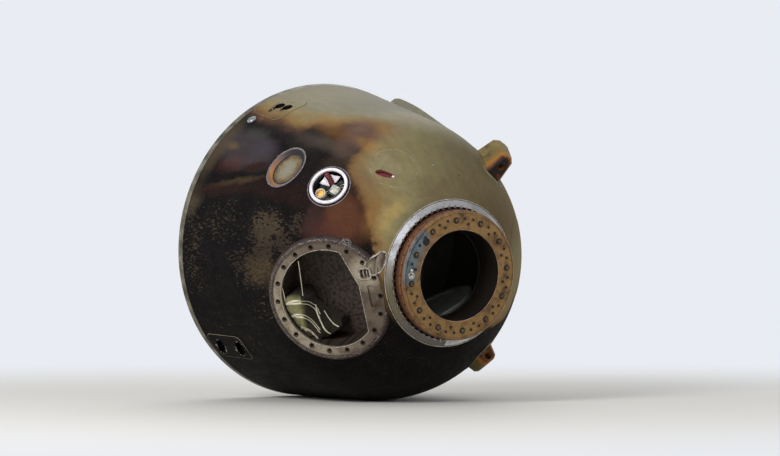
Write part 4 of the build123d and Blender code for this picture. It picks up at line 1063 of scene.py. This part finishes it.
# %% Fasteners on the hatch ring
FACE = moved(TOP, 0, 0, FACE_Z)
WASHER = [(0.011, -0.001), (0.025, -0.001), (0.025, 0.002), (0.023, 0.0035), (0.011, 0.0035)]
NUT = [
    (0, -0.001), (0.0155, -0.001), (0.0155, 0.008), (0.0135, 0.011),
    (0.008, 0.011), (0.0075, 0.005), (0, 0.005),
]
SCREW = [
    (0, -0.001), (0.0115, -0.001), (0.0115, 0.003), (0.009, 0.0055),
    (0.004, 0.0055), (0.0035, 0.003), (0, 0.003),
]
SOCKET = [(0, -0.001), (0.029, -0.001), (0.028, 0.005), (0.021, 0.006), (0.019, 0.001), (0, 0.001)]
PLUG = [(0, -0.001), (0.012, -0.001), (0.012, 0.010), (0.009, 0.014), (0.004, 0.015), (0, 0.015)]


def on_top(radius, bearing, z=FACE_Z):
    """A plane square to the axis, at a distance from it; its first way points outwards."""
    b = radians(bearing)
    outward = np.array((cos(b), sin(b), 0.0))
    return outward * radius + TOP[3] * z, outward, np.cross(TOP[3], outward), TOP[3]


def twelve(radius, first):
    return [(radius, first + 30 * k) for k in range(12)]


# A nut's own turn is its bearing's number in radians, so that no two sit alike
nut_places = twelve(0.420, 8)
screw_places = twelve(0.431, 18) + twelve(0.431, 28) + twelve(0.392, 23)
washers = gathered([turned(WASHER, 28, on_top(r, b)) for r, b in nut_places])
nuts = gathered([turned(NUT, 6, on_top(r, b, FACE_Z + 0.0025), b) for r, b in nut_places])
screws = gathered([turned(SCREW, 14, on_top(r, b)) for r, b in screw_places])
new_piece("ring_washers", washers, burnt_steel)
new_piece("ring_nuts", nuts, smoked_steel)
new_piece("ring_screws", screws, burnt_steel)
new_piece("ring_socket", turned(SOCKET, 32, on_top(0.403, 50.4)), burnt_steel)
near_rings = gathered([turned(SOCKET, 28, on_top(0.422, 90.0)), turned(PLUG, 20, on_top(0.427, 84.4))])
new_piece("ring_plug", near_rings, plated_steel)

# Thin raised lines: a sealing bead near the face's rim, and the worn lip round the tunnel's mouth
t = angles(240)
face_beads = [
    round_bead(0.478, 240, FACE, 0.0016, 0.0016 + 0.0006 * ripple(t, 3)),
    round_bead(0.3465, 240, FACE, 0.0028, 0.0026 + 0.0008 * ripple(t, 4)),
]
new_piece("ring_face_beads", gathered(face_beads), warm_edge)

# %% [markdown]
# Between the ring's wall and the bright band sits a row of claw clamps that held a cover. Their tips catch
# the light as a row of teeth. One claw is a tapered hook, and all sixty are worked out in one array.

# %% Claw clamps and the collar's lip
CLAWS = 60
CLAW = np.array(
    [
        (0.495, -0.009, 2.000), (0.495, 0.009, 2.000), (0.512, 0.004, 2.013), (0.512, -0.004, 2.013),
        (0.495, -0.009, 2.016), (0.495, 0.009, 2.016), (0.520, 0.003, 2.019), (0.520, -0.003, 2.019),
    ]
)
CLAW_FACES = [(3, 2, 1, 0), (5, 6, 7, 4), (1, 5, 4, 0), (2, 6, 5, 1), (3, 7, 6, 2), (0, 4, 7, 3)]
t = angles(CLAWS)
across = CLAW[None, :, 1] * (1 + 0.15 * ripple(t, 8, 9, 29))[:, None]
ways = (
    CLAW[:, 0] * np.cos(t)[:, None] - across * np.sin(t)[:, None],
    CLAW[:, 0] * np.sin(t)[:, None] + across * np.cos(t)[:, None],
    np.broadcast_to(CLAW[:, 2], (CLAWS, 8)),
)
claw_faces = (np.array(CLAW_FACES) + 8 * np.arange(CLAWS)[:, None, None]).reshape(-1, 4)
new_piece("ring_claws", (np.stack(ways, -1).reshape(-1, 3), claw_faces), plated_steel)

STUD = [(0, -0.001), (0.007, -0.001), (0.006, 0.003), (0, 0.0035)]
wall_screws = gathered([turned(STUD, 10, facing(b, 90, 2.083, 0.486)) for b in range(0, 360, 9)])
new_piece("ring_wall_screws", wall_screws, burnt_steel)

COLLAR = moved(TOP, 0, 0, 1.985)
CLIPS = moved(TOP, 0, 0, 2.013)
t = angles(300)
lip = [
    round_bead(0.5585, 300, COLLAR, 0.0035, 0.0035 + 0.001 * ripple(t, 5)),
    round_bead(0.5075, 300, CLIPS, 0.0025, 0.002 + 0.001 * ripple(t, 6)),
]
new_piece("collar_lip_line", gathered(lip), bare_edge)
groove = round_bead(0.5538, 240, COLLAR, 0.0018, 0.0012, 0.0022)
new_piece("collar_groove_line", groove, burnt_steel)

# %% [markdown]
# The parachute compartment's mouth lost its cover in flight, and the burnt edge round it crumbled. A wavy
# bead of pale ash runs along its crest, thickest at the top, with a burst patch where a fitting tore off.

# %% Burnt edge of the parachute compartment
t = angles(360)
bearing = np.degrees(t)
crest = np.exp(-(((bearing - 88) / 34) ** 2)) + 0.35 * np.exp(-(((bearing - 185) / 40) ** 2))
crumble = np.clip(0.35 + 0.9 * ripple(t, 11, 24, 170), 0.05, 1.3)
keep = np.abs((bearing + 180) % 360 - 180) > 38
ridge = (0.0006 + 0.0036 * crest * crumble)[keep]
edge = circle(0.468 + 0.004 * ripple(t, 12, 12, 80), 360)[keep]
ash_line = bead(edge, CHUTE, ridge + 0.0015, ridge, lift=0.009, closed=False)
new_piece("chute_rim_ash", ash_line, ash_crust)
rng = np.random.default_rng(21)
scales = []
for _ in range(150):
    a = rng.uniform(0, 2 * pi)
    reach = 0.040 * sqrt(rng.uniform(0, 1))
    x = 0.236 + reach * cos(a)
    y = 0.418 + 1.1 * reach * sin(a)
    spot = moved(CHUTE, x, y, 0.004 + 0.004 * rng.uniform())
    wide = rng.uniform(0.0015, 0.0052)
    profile = [(0, -0.002), (wide, -0.001), (wide * 0.6, 0.002), (0, 0.003)]
    scales.append(turned(profile, 5, spot, rng.uniform(0, 6)))
new_piece("chute_burst_patch", gathered(scales), ash_crust)

# %% Worn edges of the flange
# The mouth is a circle cut straight on one side and once more at a slant: each cut's turn and distance
MOUTH_CUTS = ((0.0, 0.262), (radians(20), 0.273))
t = angles(720)
reach = np.full_like(t, 0.385)
for turn, distance in MOUTH_CUTS:
    toward = np.maximum(np.cos(t - turn), 0.05)
    reach = np.where(toward > 0.05, np.minimum(reach, distance / toward), reach)
mouth = evened(circle(reach, 720), 360) * 1.006
mouth_edge = bead(mouth, CHUTE, 0.0028, 0.0022 + 0.001 * ripple(angles(360), 31, 10, 90))
new_piece("chute_mouth_edge", mouth_edge, bare_edge)
BOLT_RIM = [(0.0145, -0.001), (0.0145, 0.0006), (0.0165, 0.0014), (0.0195, 0.0012), (0.0205, -0.001)]
BOLT_CIRCLE = 0.418
bolts = [(BOLT_CIRCLE * cos(b), BOLT_CIRCLE * sin(b)) for b in np.radians(18 + 20 * np.arange(18))]
bolt_rims = gathered([turned(BOLT_RIM, 24, moved(CHUTE, x, y, 0)) for x, y in bolts])
new_piece("flange_bolt_rims", bolt_rims, burnt_steel)
pocket = rounded(0.092, 0.088, 0.024, centre=RISER_POCKET, count=120)
wave = ripple(angles(120), 32, 4, 40)
pocket_edge = bead(pocket, CHUTE, 0.0055 + 0.0015 * wave, 0.004 + 0.002 * wave, lift=0.0075)
new_piece("riser_pocket_edge", pocket_edge, bare_edge)
BAR = ((0.137, -0.055), (0.137, -0.012), (0.170, -0.004), (0.203, -0.012), (0.203, -0.055))
bars = [placed(eased([(x, *place) for place in BAR]), CHUTE) for x in (0.317, 0.345)]
bars = gathered([swept(bar, circle(0.0055), CHUTE[1]) for bar in bars])
new_piece("riser_pocket_bars", bars, bare_edge)

# %% [markdown]
# The riser channel runs from the pocket up the hatch collar's flared foot. Its outline is drawn in three
# stretches: on the flange's plane, on its own plane above the skin, and on the flare, as (bearing, length
# up the flare).

# %% The riser channel's outline
FLARE = 0.080  # radius of the collar's flared foot
FLARE_R = 0.562 + FLARE
FLARE_Z = DOME_Z + sqrt((DOME_RADIUS + FLARE) ** 2 - FLARE_R**2)
FLARE_START = asin(FLARE_R / (DOME_RADIUS + FLARE))
RIM_TOP = 0.004  # height of the flange's walls over its plane
RIM_RADIUS = 0.4523  # the flange's outer radius


def on_flare(bearings, lengths, rise):
    """Points on the collar's flared foot: an arc from the dome's slope to upright, then straight up."""
    bearings = np.radians(bearings)
    arc = (pi / 2 - FLARE_START) * FLARE
    tilt = (FLARE_START + np.minimum(lengths, arc) / FLARE)[..., None]
    around = np.stack((np.cos(bearings), np.sin(bearings), np.zeros_like(bearings)), -1)
    out = around * np.sin(tilt) + TOP[3] * np.cos(tilt)
    up = np.clip(lengths - arc, 0, None)[..., None] * TOP[3]
    return around * FLARE_R + TOP[3] * FLARE_Z - out * (FLARE - rise) + up, out


def on_lower_plane(outline, lift):
    """The outline on the channel's walls: on its own plane, or where the walls meet the flange's plane."""
    points = placed(np.concatenate((outline, np.full((len(outline), 1), lift)), -1), CHANNEL)
    depth = (points - CHUTE[0]) @ CHUTE[3]
    down = points + ((RIM_TOP - depth) / (CHANNEL[3] @ CHUTE[3]))[:, None] * CHANNEL[3]
    across = np.stack([(down - CHUTE[0]) @ axis for axis in CHUTE[1:3]], -1)
    inside = np.linalg.norm(across, axis=1)[:, None] < RIM_RADIUS
    return np.where(inside, down, points), np.where(inside, CHUTE[3], CHANNEL[3]), across


LINE = 240
walls, ups, across = on_lower_plane(rounded(0.200, 0.122, 0.044, 40, (0.026, 0.0), LINE), 0.005)
in_pocket = (np.abs(across - RISER_POCKET) < (0.050, 0.048)).all(1)
free = (np.hypot(walls[:, 0], walls[:, 1]) > 0.574) & ~in_pocket
order = np.arange(LINE)
pocket_middle = int(np.median(order[in_pocket]))
below = free & (order > pocket_middle)
above = free & (order < pocket_middle)
flare_line = eased(
    [
        (91.8, 0.030), (91.2, 0.045), (88.8, 0.080), (86.3, 0.108), (83.0, 0.125),
        (79.0, 0.127), (76.0, 0.119), (74.4, 0.100), (74.2, 0.052), (75.4, 0.026),
    ]
)
stretches = [(walls[below], ups[below]), on_flare(*flare_line.T, 0.002), (walls[above], ups[above])]
# Each point carries its way out along, made so short that it doesn't count in the line's length
route = np.concatenate([np.concatenate((place, 1e-4 * out), -1) for place, out in stretches])
route = evened(route, 320, closed=False)
up = unit(route[:, 3:])
side = unit(np.cross(np.gradient(route[:, :3], axis=0), up))
t = np.linspace(0, 6, 320)
rims = []
for seed, thick, shift in ((33, 0.0042, 0.0), (35, 0.0026, 0.0055)):
    wave = ripple(t, seed, 6, 60)[:, None]
    other = ripple(t, seed + 1, 6, 60)[:, None]
    line = route[:, :3] + up * (0.001 + 0.0026 * wave) + side * (shift + 0.0022 * other)
    rims.append(swept(line, oval(thick, thick * 0.9, count=8), up))
new_piece("riser_channel_edge", gathered(rims), bare_edge)

# %% The channel's upper end
# A shallow tray on the flare: rings shrink from the outline to the middle, and the first ring is sunk
TRAY = np.array(
    [
        (91.0, 3.0), (88.4, 7.4), (86.0, 10.3), (82.9, 12.0), (79.0, 12.2), (76.4, 11.4), (75.0, 9.7),
        (74.9, 5.2), (76.0, 2.2), (83.0, 2.0), (91.0, 2.4), (91.0, 3.0),
    ]
)
HUB = np.array((82.0, 7.2))
SHRINK = np.array((1.0, 1.0, 0.8, 0.6, 0.4, 0.2, 0.0))
RISE = np.where(np.arange(7) > 0, 0.0012, -0.004)
grid = HUB + (evened(eased(TRAY), 96) - HUB)[:, None] * SHRINK[None, :, None]
tray_points, _ = on_flare(grid[..., 0], grid[..., 1] / 100, RISE[None, :, None])
tray = (tray_points.reshape(-1, 3), quads(96, 7, True)[:, ::-1])
new_piece("riser_channel_head", tray, flange_alloy)
STUB = [(0.066, 0.052, -0.020), (0.060, 0.066, 0.000), (0.044, 0.078, 0.008), (0.030, 0.080, -0.004)]
stub = swept(placed(eased(STUB), CHANNEL), oval(0.009, 0.002, count=12), CHANNEL[3])
new_piece("riser_stub", stub, red_sleeve)

# %% [markdown]
# Two kinds of padded thing are on board: what is left of the parachute's pack, and the liners of the three
# couches. A real pad is cloth pulled over filling, so its faces swell and its edges round off. The CAD
# solid is copied, meshed again in small even squares, drawn in a little and blown up by the cloth
# simulation with its gravity off. How far a point may move is capped, so the pad stays in the room that its
# solid keeps.

# %% Padded shapes by simulation
STEPS = 20  # frames of the simulation


def read(mesh, kind="co"):
    values = np.empty(len(mesh.vertices) * 3)
    mesh.vertices.foreach_get(kind, values)
    return values.reshape(-1, 3)


def write(mesh, places):
    mesh.vertices.foreach_set("co", places.ravel())
    mesh.update()


def evaluated(thing):
    """The thing's mesh as its modifiers leave it, as a new mesh."""
    return bpy.data.meshes.new_from_object(thing.evaluated_get(bpy.context.evaluated_depsgraph_get()))


def swollen(source, name, voxel, inset, pressure, cap):
    """A padded copy of a CAD node: each point moves by the simulated swelling, by a length of at most cap."""
    copy = bpy.data.objects.new(name, source.data.copy())
    scene.collection.objects.link(copy)
    copy.data.materials.clear()
    solid = bmesh.new()
    solid.from_mesh(copy.data)
    bmesh.ops.remove_doubles(solid, verts=solid.verts, dist=1e-5)
    bmesh.ops.recalc_face_normals(solid, faces=solid.faces)
    solid.to_mesh(copy.data)
    solid.free()
    remesh = copy.modifiers.new("even_squares", "REMESH")
    remesh.mode = "VOXEL"
    remesh.voxel_size = voxel
    shape = evaluated(copy)
    copy.modifiers.remove(remesh)
    copy.data = shape
    before = read(shape) - inset * read(shape, "normal")
    write(shape, before)
    cloth = copy.modifiers.new("filling", "CLOTH")
    cloth.settings.quality = 4
    cloth.settings.use_pressure = True
    cloth.settings.uniform_pressure_force = pressure
    cloth.settings.effector_weights.gravity = 0
    cloth.point_cache.frame_start = 1
    cloth.point_cache.frame_end = STEPS
    for step in range(1, STEPS + 1):
        scene.frame_set(step)
    swelled = evaluated(copy)
    move = read(swelled) - before
    copy.modifiers.remove(cloth)
    scene.frame_set(1)
    bpy.data.meshes.remove(swelled)
    length = np.linalg.norm(move, axis=1, keepdims=True)
    before = before + move * np.minimum(1, cap / np.maximum(length, 1e-9))
    write(shape, before)
    shape.polygons.foreach_set("use_smooth", [True] * len(shape.polygons))
    print(name, len(before), "points")
    return copy, upright(before)


def finish_pad(piece, finish, source):
    smooth = piece.modifiers.new("smooth", "SUBSURF")
    smooth.levels = 1
    smooth.render_levels = 1
    piece.data.materials.append(finish)
    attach(piece, "capsule")
    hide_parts(source)


# %% The parachute's pack
PACK_FLOOR = -0.330
PACK_TOP = -0.066
STRIP_EDGE = -0.250
WALL = 0.3835  # the compartment's inner radius, less a little
pack, points = swollen(nodes["chute_pack"], "parachute_pack", 0.0065, 0.010, 4.0, 0.020)
x, y, z = ((points - CHUTE[0]) @ axis for axis in CHUTE[1:])
# The pack was pulled up against the mouth's far edge: a level strip there, then a steep slope inwards
strip = -0.012 - 0.14 * np.clip(x + 0.385, 0, 0.135)
slope = np.interp(y, (-0.36, -0.28, -0.15, -0.05), (0.15, 0.5, 1.2, 1.7)) * np.clip(x - STRIP_EDGE, 0, 0.16)
share = np.clip((z - PACK_FLOOR) / (PACK_TOP - PACK_FLOOR), 0, 1.03)
z = PACK_FLOOR + share * (strip - slope - PACK_FLOOR)
near_end = np.clip((y + 0.150) / 0.150, 0, 1)
y = y + near_end * np.interp(x, (-0.385, -0.30, -0.25, -0.23), (0.040, 0.004, -0.024, -0.034))
# Pairs of bands pull the cloth in: a dent of 8 mm that fades over 15 mm, on the strip and on the inner side
BANDS = (-0.021, -0.125, -0.228, -0.318)
sagged = y + 1.5 * np.clip(x - STRIP_EDGE, 0, 0.12)
dent = sum(np.exp(-(((sagged - band) / 0.015) ** 2)) for band in BANDS)
# Creases run along the pack, a few millimetres deep
crease = np.sin(x / 0.016 + 1.7 * np.sin(y / 0.030)) * np.sin(y / 0.011)
z = z + (0.0022 * crease - 0.008 * dent) * np.clip((share - 0.85) / 0.1, 0, 1)
reach = np.hypot(x, y)
grow = np.minimum(1 + 0.03 * np.clip((reach - 0.28) / 0.08, 0, 1), WALL / reach)
cloth_places = placed(np.stack((x * grow, y * grow, z), -1), CHUTE)
write(pack.data, lay(cloth_places))
finish_pad(pack, olive_canvas, "chute_pack")

# %% [markdown]
# Cream webbing in pairs ties the pack down. Each strap is a flat section carried over points that are read
# off the swollen pack by casting rays at it: straight down on the strip, then slanting away down the steep
# inner side.

# %% Straps on the pack
surface = BVHTree.FromPolygons(cloth_places.tolist(), [tuple(face.vertices) for face in pack.data.polygons])


def strap(line, width, lift=0.0015):
    """A strap along a line of (x, y) places: the cloth's highest point below each, smoothed three times. A
    line that misses the cloth gives no strap."""
    rays = [Vector(placed((x, y, 0.03), CHUTE)) for x, y in evened(eased(line), 34, closed=False)]
    hits = [surface.ray_cast(ray, Vector(-CHUTE[3]))[:2] for ray in rays]
    hits = [hit for hit in hits if hit[0] is not None]
    if len(hits) < 8:
        return None
    path, out = (np.array(part) for part in zip(*hits))
    for _ in range(3):
        for row in (path, out):
            row[1:-1] = (row[:-2] + 2 * row[1:-1] + row[2:]) / 4
    out = unit(out)
    return swept(path + lift * out, oval(width / 2, 0.0018, count=12), out)


def taut(line, radius):
    """A straight-pulled round line through places on the compartment's plane."""
    return swept(placed(eased(line), CHUTE), circle(radius), CHUTE[3])


DROP = ((0.0, 0.0), (0.022, 0.016), (0.055, 0.070), (0.095, 0.150))
straps = []
for band in BANDS:
    wall = 0.006 - sqrt(WALL**2 - band**2)
    start = max(wall, -0.260)
    for end in (band + 0.0105, band - 0.0105):
        bend = (wall + 0.03, band + 0.008 + 0.4 * (end - band))
        drop = [(start + down, end - slant) for down, slant in DROP]
        if wall < -0.29:
            straps.append(strap([(wall, band - 0.004), bend, (-0.305, end + 0.010), (-0.258, end)], 0.0145))
        straps.append(strap(drop, 0.006))
straps = [made for made in straps if made]
print(len(straps), "straps")
new_piece("pack_straps", gathered(straps), cream_webbing, sharp=60)
# Two lashings run down the edge of the slope over the straps; a taut line and a short string tie the pack up
LONG_LASHING = [(-0.230, 0.030), (-0.215, -0.035), (-0.182, -0.155), (-0.130, -0.285), (-0.085, -0.345)]
SHORT_LASHING = [(-0.226, 0.020), (-0.178, -0.075), (-0.138, -0.175), (-0.085, -0.245), (-0.030, -0.270)]
lashings = [
    strap(LONG_LASHING, 0.011, 0.005),
    strap(SHORT_LASHING, 0.007, 0.004),
    taut([(-0.188, 0.312, -0.016), (-0.206, 0.180, -0.034), (-0.226, 0.030, -0.046)], 0.003),
    taut([(-0.364, 0.118, -0.010), (-0.366, 0.090, -0.020), (-0.368, 0.020, -0.024)], 0.0025),
]
new_piece("pack_lines", gathered(lashings), cream_webbing, sharp=60)

# %% The liners of the couches
CHANNEL_STEP = 0.128
first, level = swollen(nodes["seat_middle_pad"], "couch_liner_middle", 0.012, 0.007, 4.0, 0.016)
low = level.min(0)
high = level.max(0)
share = np.clip((level[:, 2] - (low[2] + high[2]) / 2) / 0.02, 0, 1)
# Sewn channels every 128 mm across the liner, and one line of piping 34 mm inside its edge
off_line = np.abs((level[:, 0] - low[0] + CHANNEL_STEP / 2) % CHANNEL_STEP - CHANNEL_STEP / 2)
rim_gap = np.minimum(level - low, high - level)[:, :2].min(1)
level[:, 2] -= share * 0.010 * np.exp(-((off_line / 0.012) ** 2)) * np.clip(rim_gap / 0.03, 0, 1)
level[:, 2] -= share * 0.007 * np.exp(-(((rim_gap - 0.034) / 0.010) ** 2))
for side, shift in (("middle", 0.0), ("near", 0.47), ("far", -0.47)):
    liner = first
    if side != "middle":
        liner = bpy.data.objects.new(f"couch_liner_{side}", first.data.copy())
        scene.collection.objects.link(liner)
        liner.data.materials.clear()
    write(liner.data, lay(level + (0, shift, 0)))
    finish_pad(liner, seat_weave, f"seat_{side}_pad")

# %% [markdown]
# The window is set back in a scorched frame. Pale flaked enamel lines its outer edge and a dark sealing
# ring sits round the pane. The same pieces serve both windows.

# %% Window edges
t = angles(220)
width = 0.0045 + 0.002 * ripple(t, 41, 8, 70)
height = 0.005 + 0.003 * ripple(t, 42, 8, 90)
for side, plane in WINDOWS.items():
    rim = [
        round_bead(0.1815, 220, plane, width, height, 0.0005),
        round_bead(0.1745, 220, plane, 0.0015, 0.0015 + 0.001 * ripple(t, 43)),
    ]
    new_piece(f"window_rim_flakes_{side}", gathered(rim), ash_crust)
    seal = round_bead(0.139, 120, plane, 0.005, 0.005, -0.0225)
    new_piece(f"window_seal_{side}", seal, seal_rubber)

# %% [markdown]
# Inside the white ring of the sight port hang the bits that a cover hid: two folded sheets of white film, a
# red sleeve, a gilded knob in a cream collar, a grey casting and springy bright wires. They sit at the
# places where the photograph shows them, down in the dark bore.

# %% Lines and sheets of the sight port
ragged = 0.002 + 0.002 * np.clip(ripple(angles(200), 51, 4, 60), -1, 1)
port_lines = [
    round_bead(0.153, 200, SIGHT, 0.002, 0.003, -0.006),
    round_bead(0.171, 200, SIGHT, 0.0035, ragged, on_bell=True),
]
new_piece("sight_port_lines", gathered(port_lines), ash_crust)


def sheet(corners, fold, rows=14, columns=14):
    """A folded thin sheet between four corners: even steps both ways, raised by fold * sin along its first,
    and a second grid 2.5 mm below that is joined to it at the edges."""
    u = np.linspace(0, 1, rows)[:, None, None]
    v = np.linspace(0, 1, columns)[None, :, None]
    a, b, c, d = (np.asarray(corner, float) for corner in corners)
    front = (1 - u) * (1 - v) * a + u * (1 - v) * b + u * v * c + (1 - u) * v * d
    front[..., 2] += fold * np.sin(3 * pi * u[..., 0]) * (0.3 + v[..., 0])
    points = np.concatenate((front.reshape(-1, 3), front.reshape(-1, 3) - (0, 0, 0.0025)))
    count = rows * columns
    faces = quads(rows, columns)
    grid = np.arange(count).reshape(rows, columns)
    loop = np.concatenate((grid[:, 0], grid[-1, 1:], grid[-2::-1, -1], grid[0, -2:0:-1]))
    after = np.roll(loop, -1)
    wall = np.stack((loop, loop + count, after + count, after), -1)
    return placed(points, SIGHT), np.concatenate((faces, faces[:, ::-1] + count, wall))


FILMS = (
    ((-0.119, 0.004, -0.070), (-0.098, 0.074, -0.040), (-0.040, 0.030, -0.072), (-0.038, 0.018, -0.075)),
    ((-0.078, 0.094, -0.040), (0.010, 0.118, -0.046), (-0.006, 0.066, -0.072), (-0.040, 0.050, -0.075)),
)
CHEEKS = (
    ((-0.122, 0.010, -0.080), (-0.036, 0.018, -0.090), (-0.030, -0.010, -0.110), (-0.110, -0.050, -0.110)),
    ((0.000, 0.112, -0.080), (0.080, 0.088, -0.095), (0.050, 0.040, -0.110), (-0.018, 0.060, -0.095)),
)
films = gathered([sheet(corners, 0.006) for corners in FILMS])
new_piece("sight_white_film", films, white_enamel)
cheeks = gathered([sheet(corners, 0.004) for corners in CHEEKS])
new_piece("sight_dark_cheeks", cheeks, port_dark)

# %% Knob and sleeve of the sight port
KNOB = moved(SIGHT, -0.053, -0.066, -0.060)
KNOB_COLLAR = [
    (0.020, -0.030), (0.040, -0.030), (0.042, 0.004), (0.039, 0.010),
    (0.033, 0.010), (0.031, 0.000), (0.020, 0.000),
]
DISC = [(0, -0.02), (0.0305, -0.02), (0.0305, 0.002), (0.026, 0.006), (0.012, 0.007), (0, 0.0072)]
new_piece("sight_knob_collar", turned(KNOB_COLLAR, 40, KNOB), cream_plastic)
new_piece("sight_knob", turned(DISC, 36, KNOB), gilding, stands_for=("sight_valve",))

t = np.linspace(0, 1, 26)
sleeve_path = placed(np.stack((-0.092 + 0.062 * t, 0.082 - 0.030 * t, -0.012 - 0.080 * t**1.3), -1), SIGHT)
points, faces = swept(sleeve_path, circle(0.0215, 20), SIGHT[1])
swell = 1 + 0.10 * np.sin(np.linspace(0, 7 * 2 * pi, 28))
middle = np.repeat(np.concatenate((sleeve_path[:1], sleeve_path, sleeve_path[-1:])), 20, axis=0)
points = middle + (points - middle) * np.repeat(swell, 20)[:, None]
new_piece("sight_sleeve", (points, faces), red_sleeve, stands_for=("sight_tube",))

# %% Casting, springs and foil of the sight port
# The casting: a rounded block with ears, as a superellipse that tapers upwards, on a foot 30 mm further down
CASTING = np.array((0.030, 0.012))
SHARE = np.array([1.0, 1.0, 0.94, 0.86, 0.55, 0.0])
LEVEL = np.array([-0.030, -0.002, 0.004, 0.016, 0.018, 0.018])
EARS = np.array([0, 0, 0, 1, 1, 0])
t = angles(48)
plan = np.sign(circle(1, 48)) * np.abs(circle(1, 48)) ** 0.5 * (0.046, 0.038)
height = -0.070 + LEVEL + 0.004 * np.outer(np.cos(3 * t), EARS)
block = np.concatenate((CASTING + plan[:, None] * SHARE[None, :, None], height[..., None]), -1)
foot = np.broadcast_to(np.array((*CASTING, -0.1)), (48, 1, 3))
block = placed(np.concatenate((foot, block), 1).reshape(-1, 3), SIGHT)
new_piece(
    "sight_casting", (block, quads(48, 7, True)), grey_casting, stands_for=("sight_block",)
)
SPRINGS = (
    ((-0.030, -0.052, -0.062), (-0.008, -0.030, -0.045), (0.004, -0.010, -0.062)),
    ((-0.024, -0.040, -0.062), (0.000, -0.022, -0.040), (0.010, 0.000, -0.060)),
    ((0.050, 0.040, -0.060), (0.085, 0.060, -0.045), (0.110, 0.052, -0.070)),
    ((0.046, 0.052, -0.062), (0.074, 0.082, -0.045), (0.094, 0.084, -0.072)),
    ((0.060, 0.020, -0.060), (0.094, 0.030, -0.042), (0.118, 0.012, -0.070)),
    ((0.020, -0.090, -0.080), (0.050, -0.070, -0.055), (0.060, -0.030, -0.070)),
)
springs = gathered([swept(placed(eased(spring), SIGHT), circle(0.0028), SIGHT[3]) for spring in SPRINGS])
new_piece("sight_springs", springs, plated_steel)
foil = []
rng = np.random.default_rng(5)
for k in range(9):
    a = radians(200 + 16 * k)
    middle = np.array((0.062 * cos(a) + 0.02, 0.082 * sin(a), -0.100))
    corners = [middle + rng.uniform(-0.026, 0.026, 3) * (1, 1, 0.6) for _ in range(4)]
    order = np.argsort([np.arctan2(*(c - middle)[1::-1]) for c in corners])
    foil.append(sheet([corners[i] for i in order], 0.006, 7, 7))
new_piece("sight_foil", gathered(foil), grey_casting)

# %% [markdown]
# Seams show on the dome as pale lines of filler: two round the scooped cover, one round each thruster
# panel, two round each fairing's foot and one round the closed reserve cover. Each is a low bead settled
# onto the skin, so it follows the curve.

# %% Seams on the skin
wave = ripple(angles(220), 61, 6, 60)
seams = [
    round_bead(0.182, 220, SCOOP, 0.0026, 0.0018 + 0.0006 * wave, on_bell=True),
    round_bead(0.172, 220, SCOOP, 0.0014, 0.0010 + 0.0004 * wave, on_bell=True),
    round_bead(0.300, 260, on_dome(275, 50), 0.0026, 0.0018, on_bell=True),
]
for planes, length, width in ((UPPER_PANELS, 0.370, 0.324), (LOWER_PANELS, 0.464, 0.234)):
    outline = rounded(length, width, 0.062)
    seams += [bead(outline, plane, 0.0022, 0.0016, lift=0.003, on_bell=True) for plane in planes]
for plane, turn in zip(FAIRINGS.values(), (9.25, -9.25)):
    for grow in (0.012, 0.034):
        foot = rounded(0.332 + 2 * grow, 0.168 + 2 * grow, 0.03 + grow, turn)
        seams.append(bead(foot, plane, 0.0028, 0.0022, on_bell=True))
new_piece("coat_seams", gathered(seams), seam_filler)

# %% Lips and chips of the thrusters
# Raised lips round the bores of the upper thrusters, and chipped rims round the oval mouths of the lower ones
wave = ripple(angles(140), 71, 5, 50)
width = 0.004 + 0.001 * wave
height = 0.004 + 0.0015 * wave
outline = rounded(0.200, 0.150, 0.068, 6, BORE, 140)
lips = [bead(outline, plane, width, height, lift=0.004, on_bell=True) for plane in UPPER_PANELS]
new_piece("thruster_bore_lips", gathered(lips), seam_filler)
chips = []
for plane in LOWER_PANELS:
    for k, centre in enumerate(((-0.126, -0.012), (0.139, -0.011))):
        heavy = np.abs(np.clip(ripple(angles(110), 80 + k, 2, 30), -0.4, 1) + 0.35)
        rim = oval(0.097, 0.053, 50, centre, 110)
        chips.append(bead(rim, plane, 0.002 + 0.006 * heavy, 0.001 + 0.005 * heavy, on_bell=True))
new_piece("thruster_mouth_chips", gathered(chips), ash_crust)

# %% The scooped cover's port and small fittings
# The oval port has a dark red lining and a chipped white corner
PORT = np.array((0.013, -0.088))
lining = bead(oval(0.070, 0.029, 42, PORT, 80), SCOOP, 0.006, 0.004, lift=-0.026)
rings = np.linspace(0, 1, 6)
plan = oval(0.073, 0.031, 42, count=80)[:, None] * rings[None, :, None] + PORT
bottom = np.broadcast_to(-0.030 - 0.002 * rings**2, (80, 6))[..., None]
bottom = placed(np.concatenate((plan, bottom), -1).reshape(-1, 3), SCOOP)
lining = gathered([lining, (bottom, quads(80, 6, True)[:, ::-1])])
new_piece("scoop_red_lining", lining, red_sleeve)
CHIP = [(0, -0.006), (0.012, -0.004), (0.009, 0.004), (0, 0.007)]
chip = turned(CHIP, 7, moved(SCOOP, 0.064, -0.050, -0.012), 0.4)
new_piece("scoop_white_chip", chip, white_enamel)
# Small fittings: the round plug's dome and a bright dot on the dome
ROUND_PLUG = [
    (0, -0.002), (0.034, -0.002), (0.034, 0.004), (0.029, 0.011), (0.018, 0.017), (0.008, 0.019), (0, 0.0195),
]
DOT = [(0, -0.002), (0.008, -0.002), (0.007, 0.003), (0, 0.004)]
fittings = gathered([turned(ROUND_PLUG, 32, on_cone(38.1, 0.174)), turned(DOT, 14, on_dome(2.6, 44.0))])
new_piece("skin_fittings", fittings, bright_plug)

# %% Sizes
size = {"cad": cad_box, "visual": [list(corner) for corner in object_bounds()]}
print("the dressed box is", [[round(v, 3) for v in corner] for corner in size["visual"]])
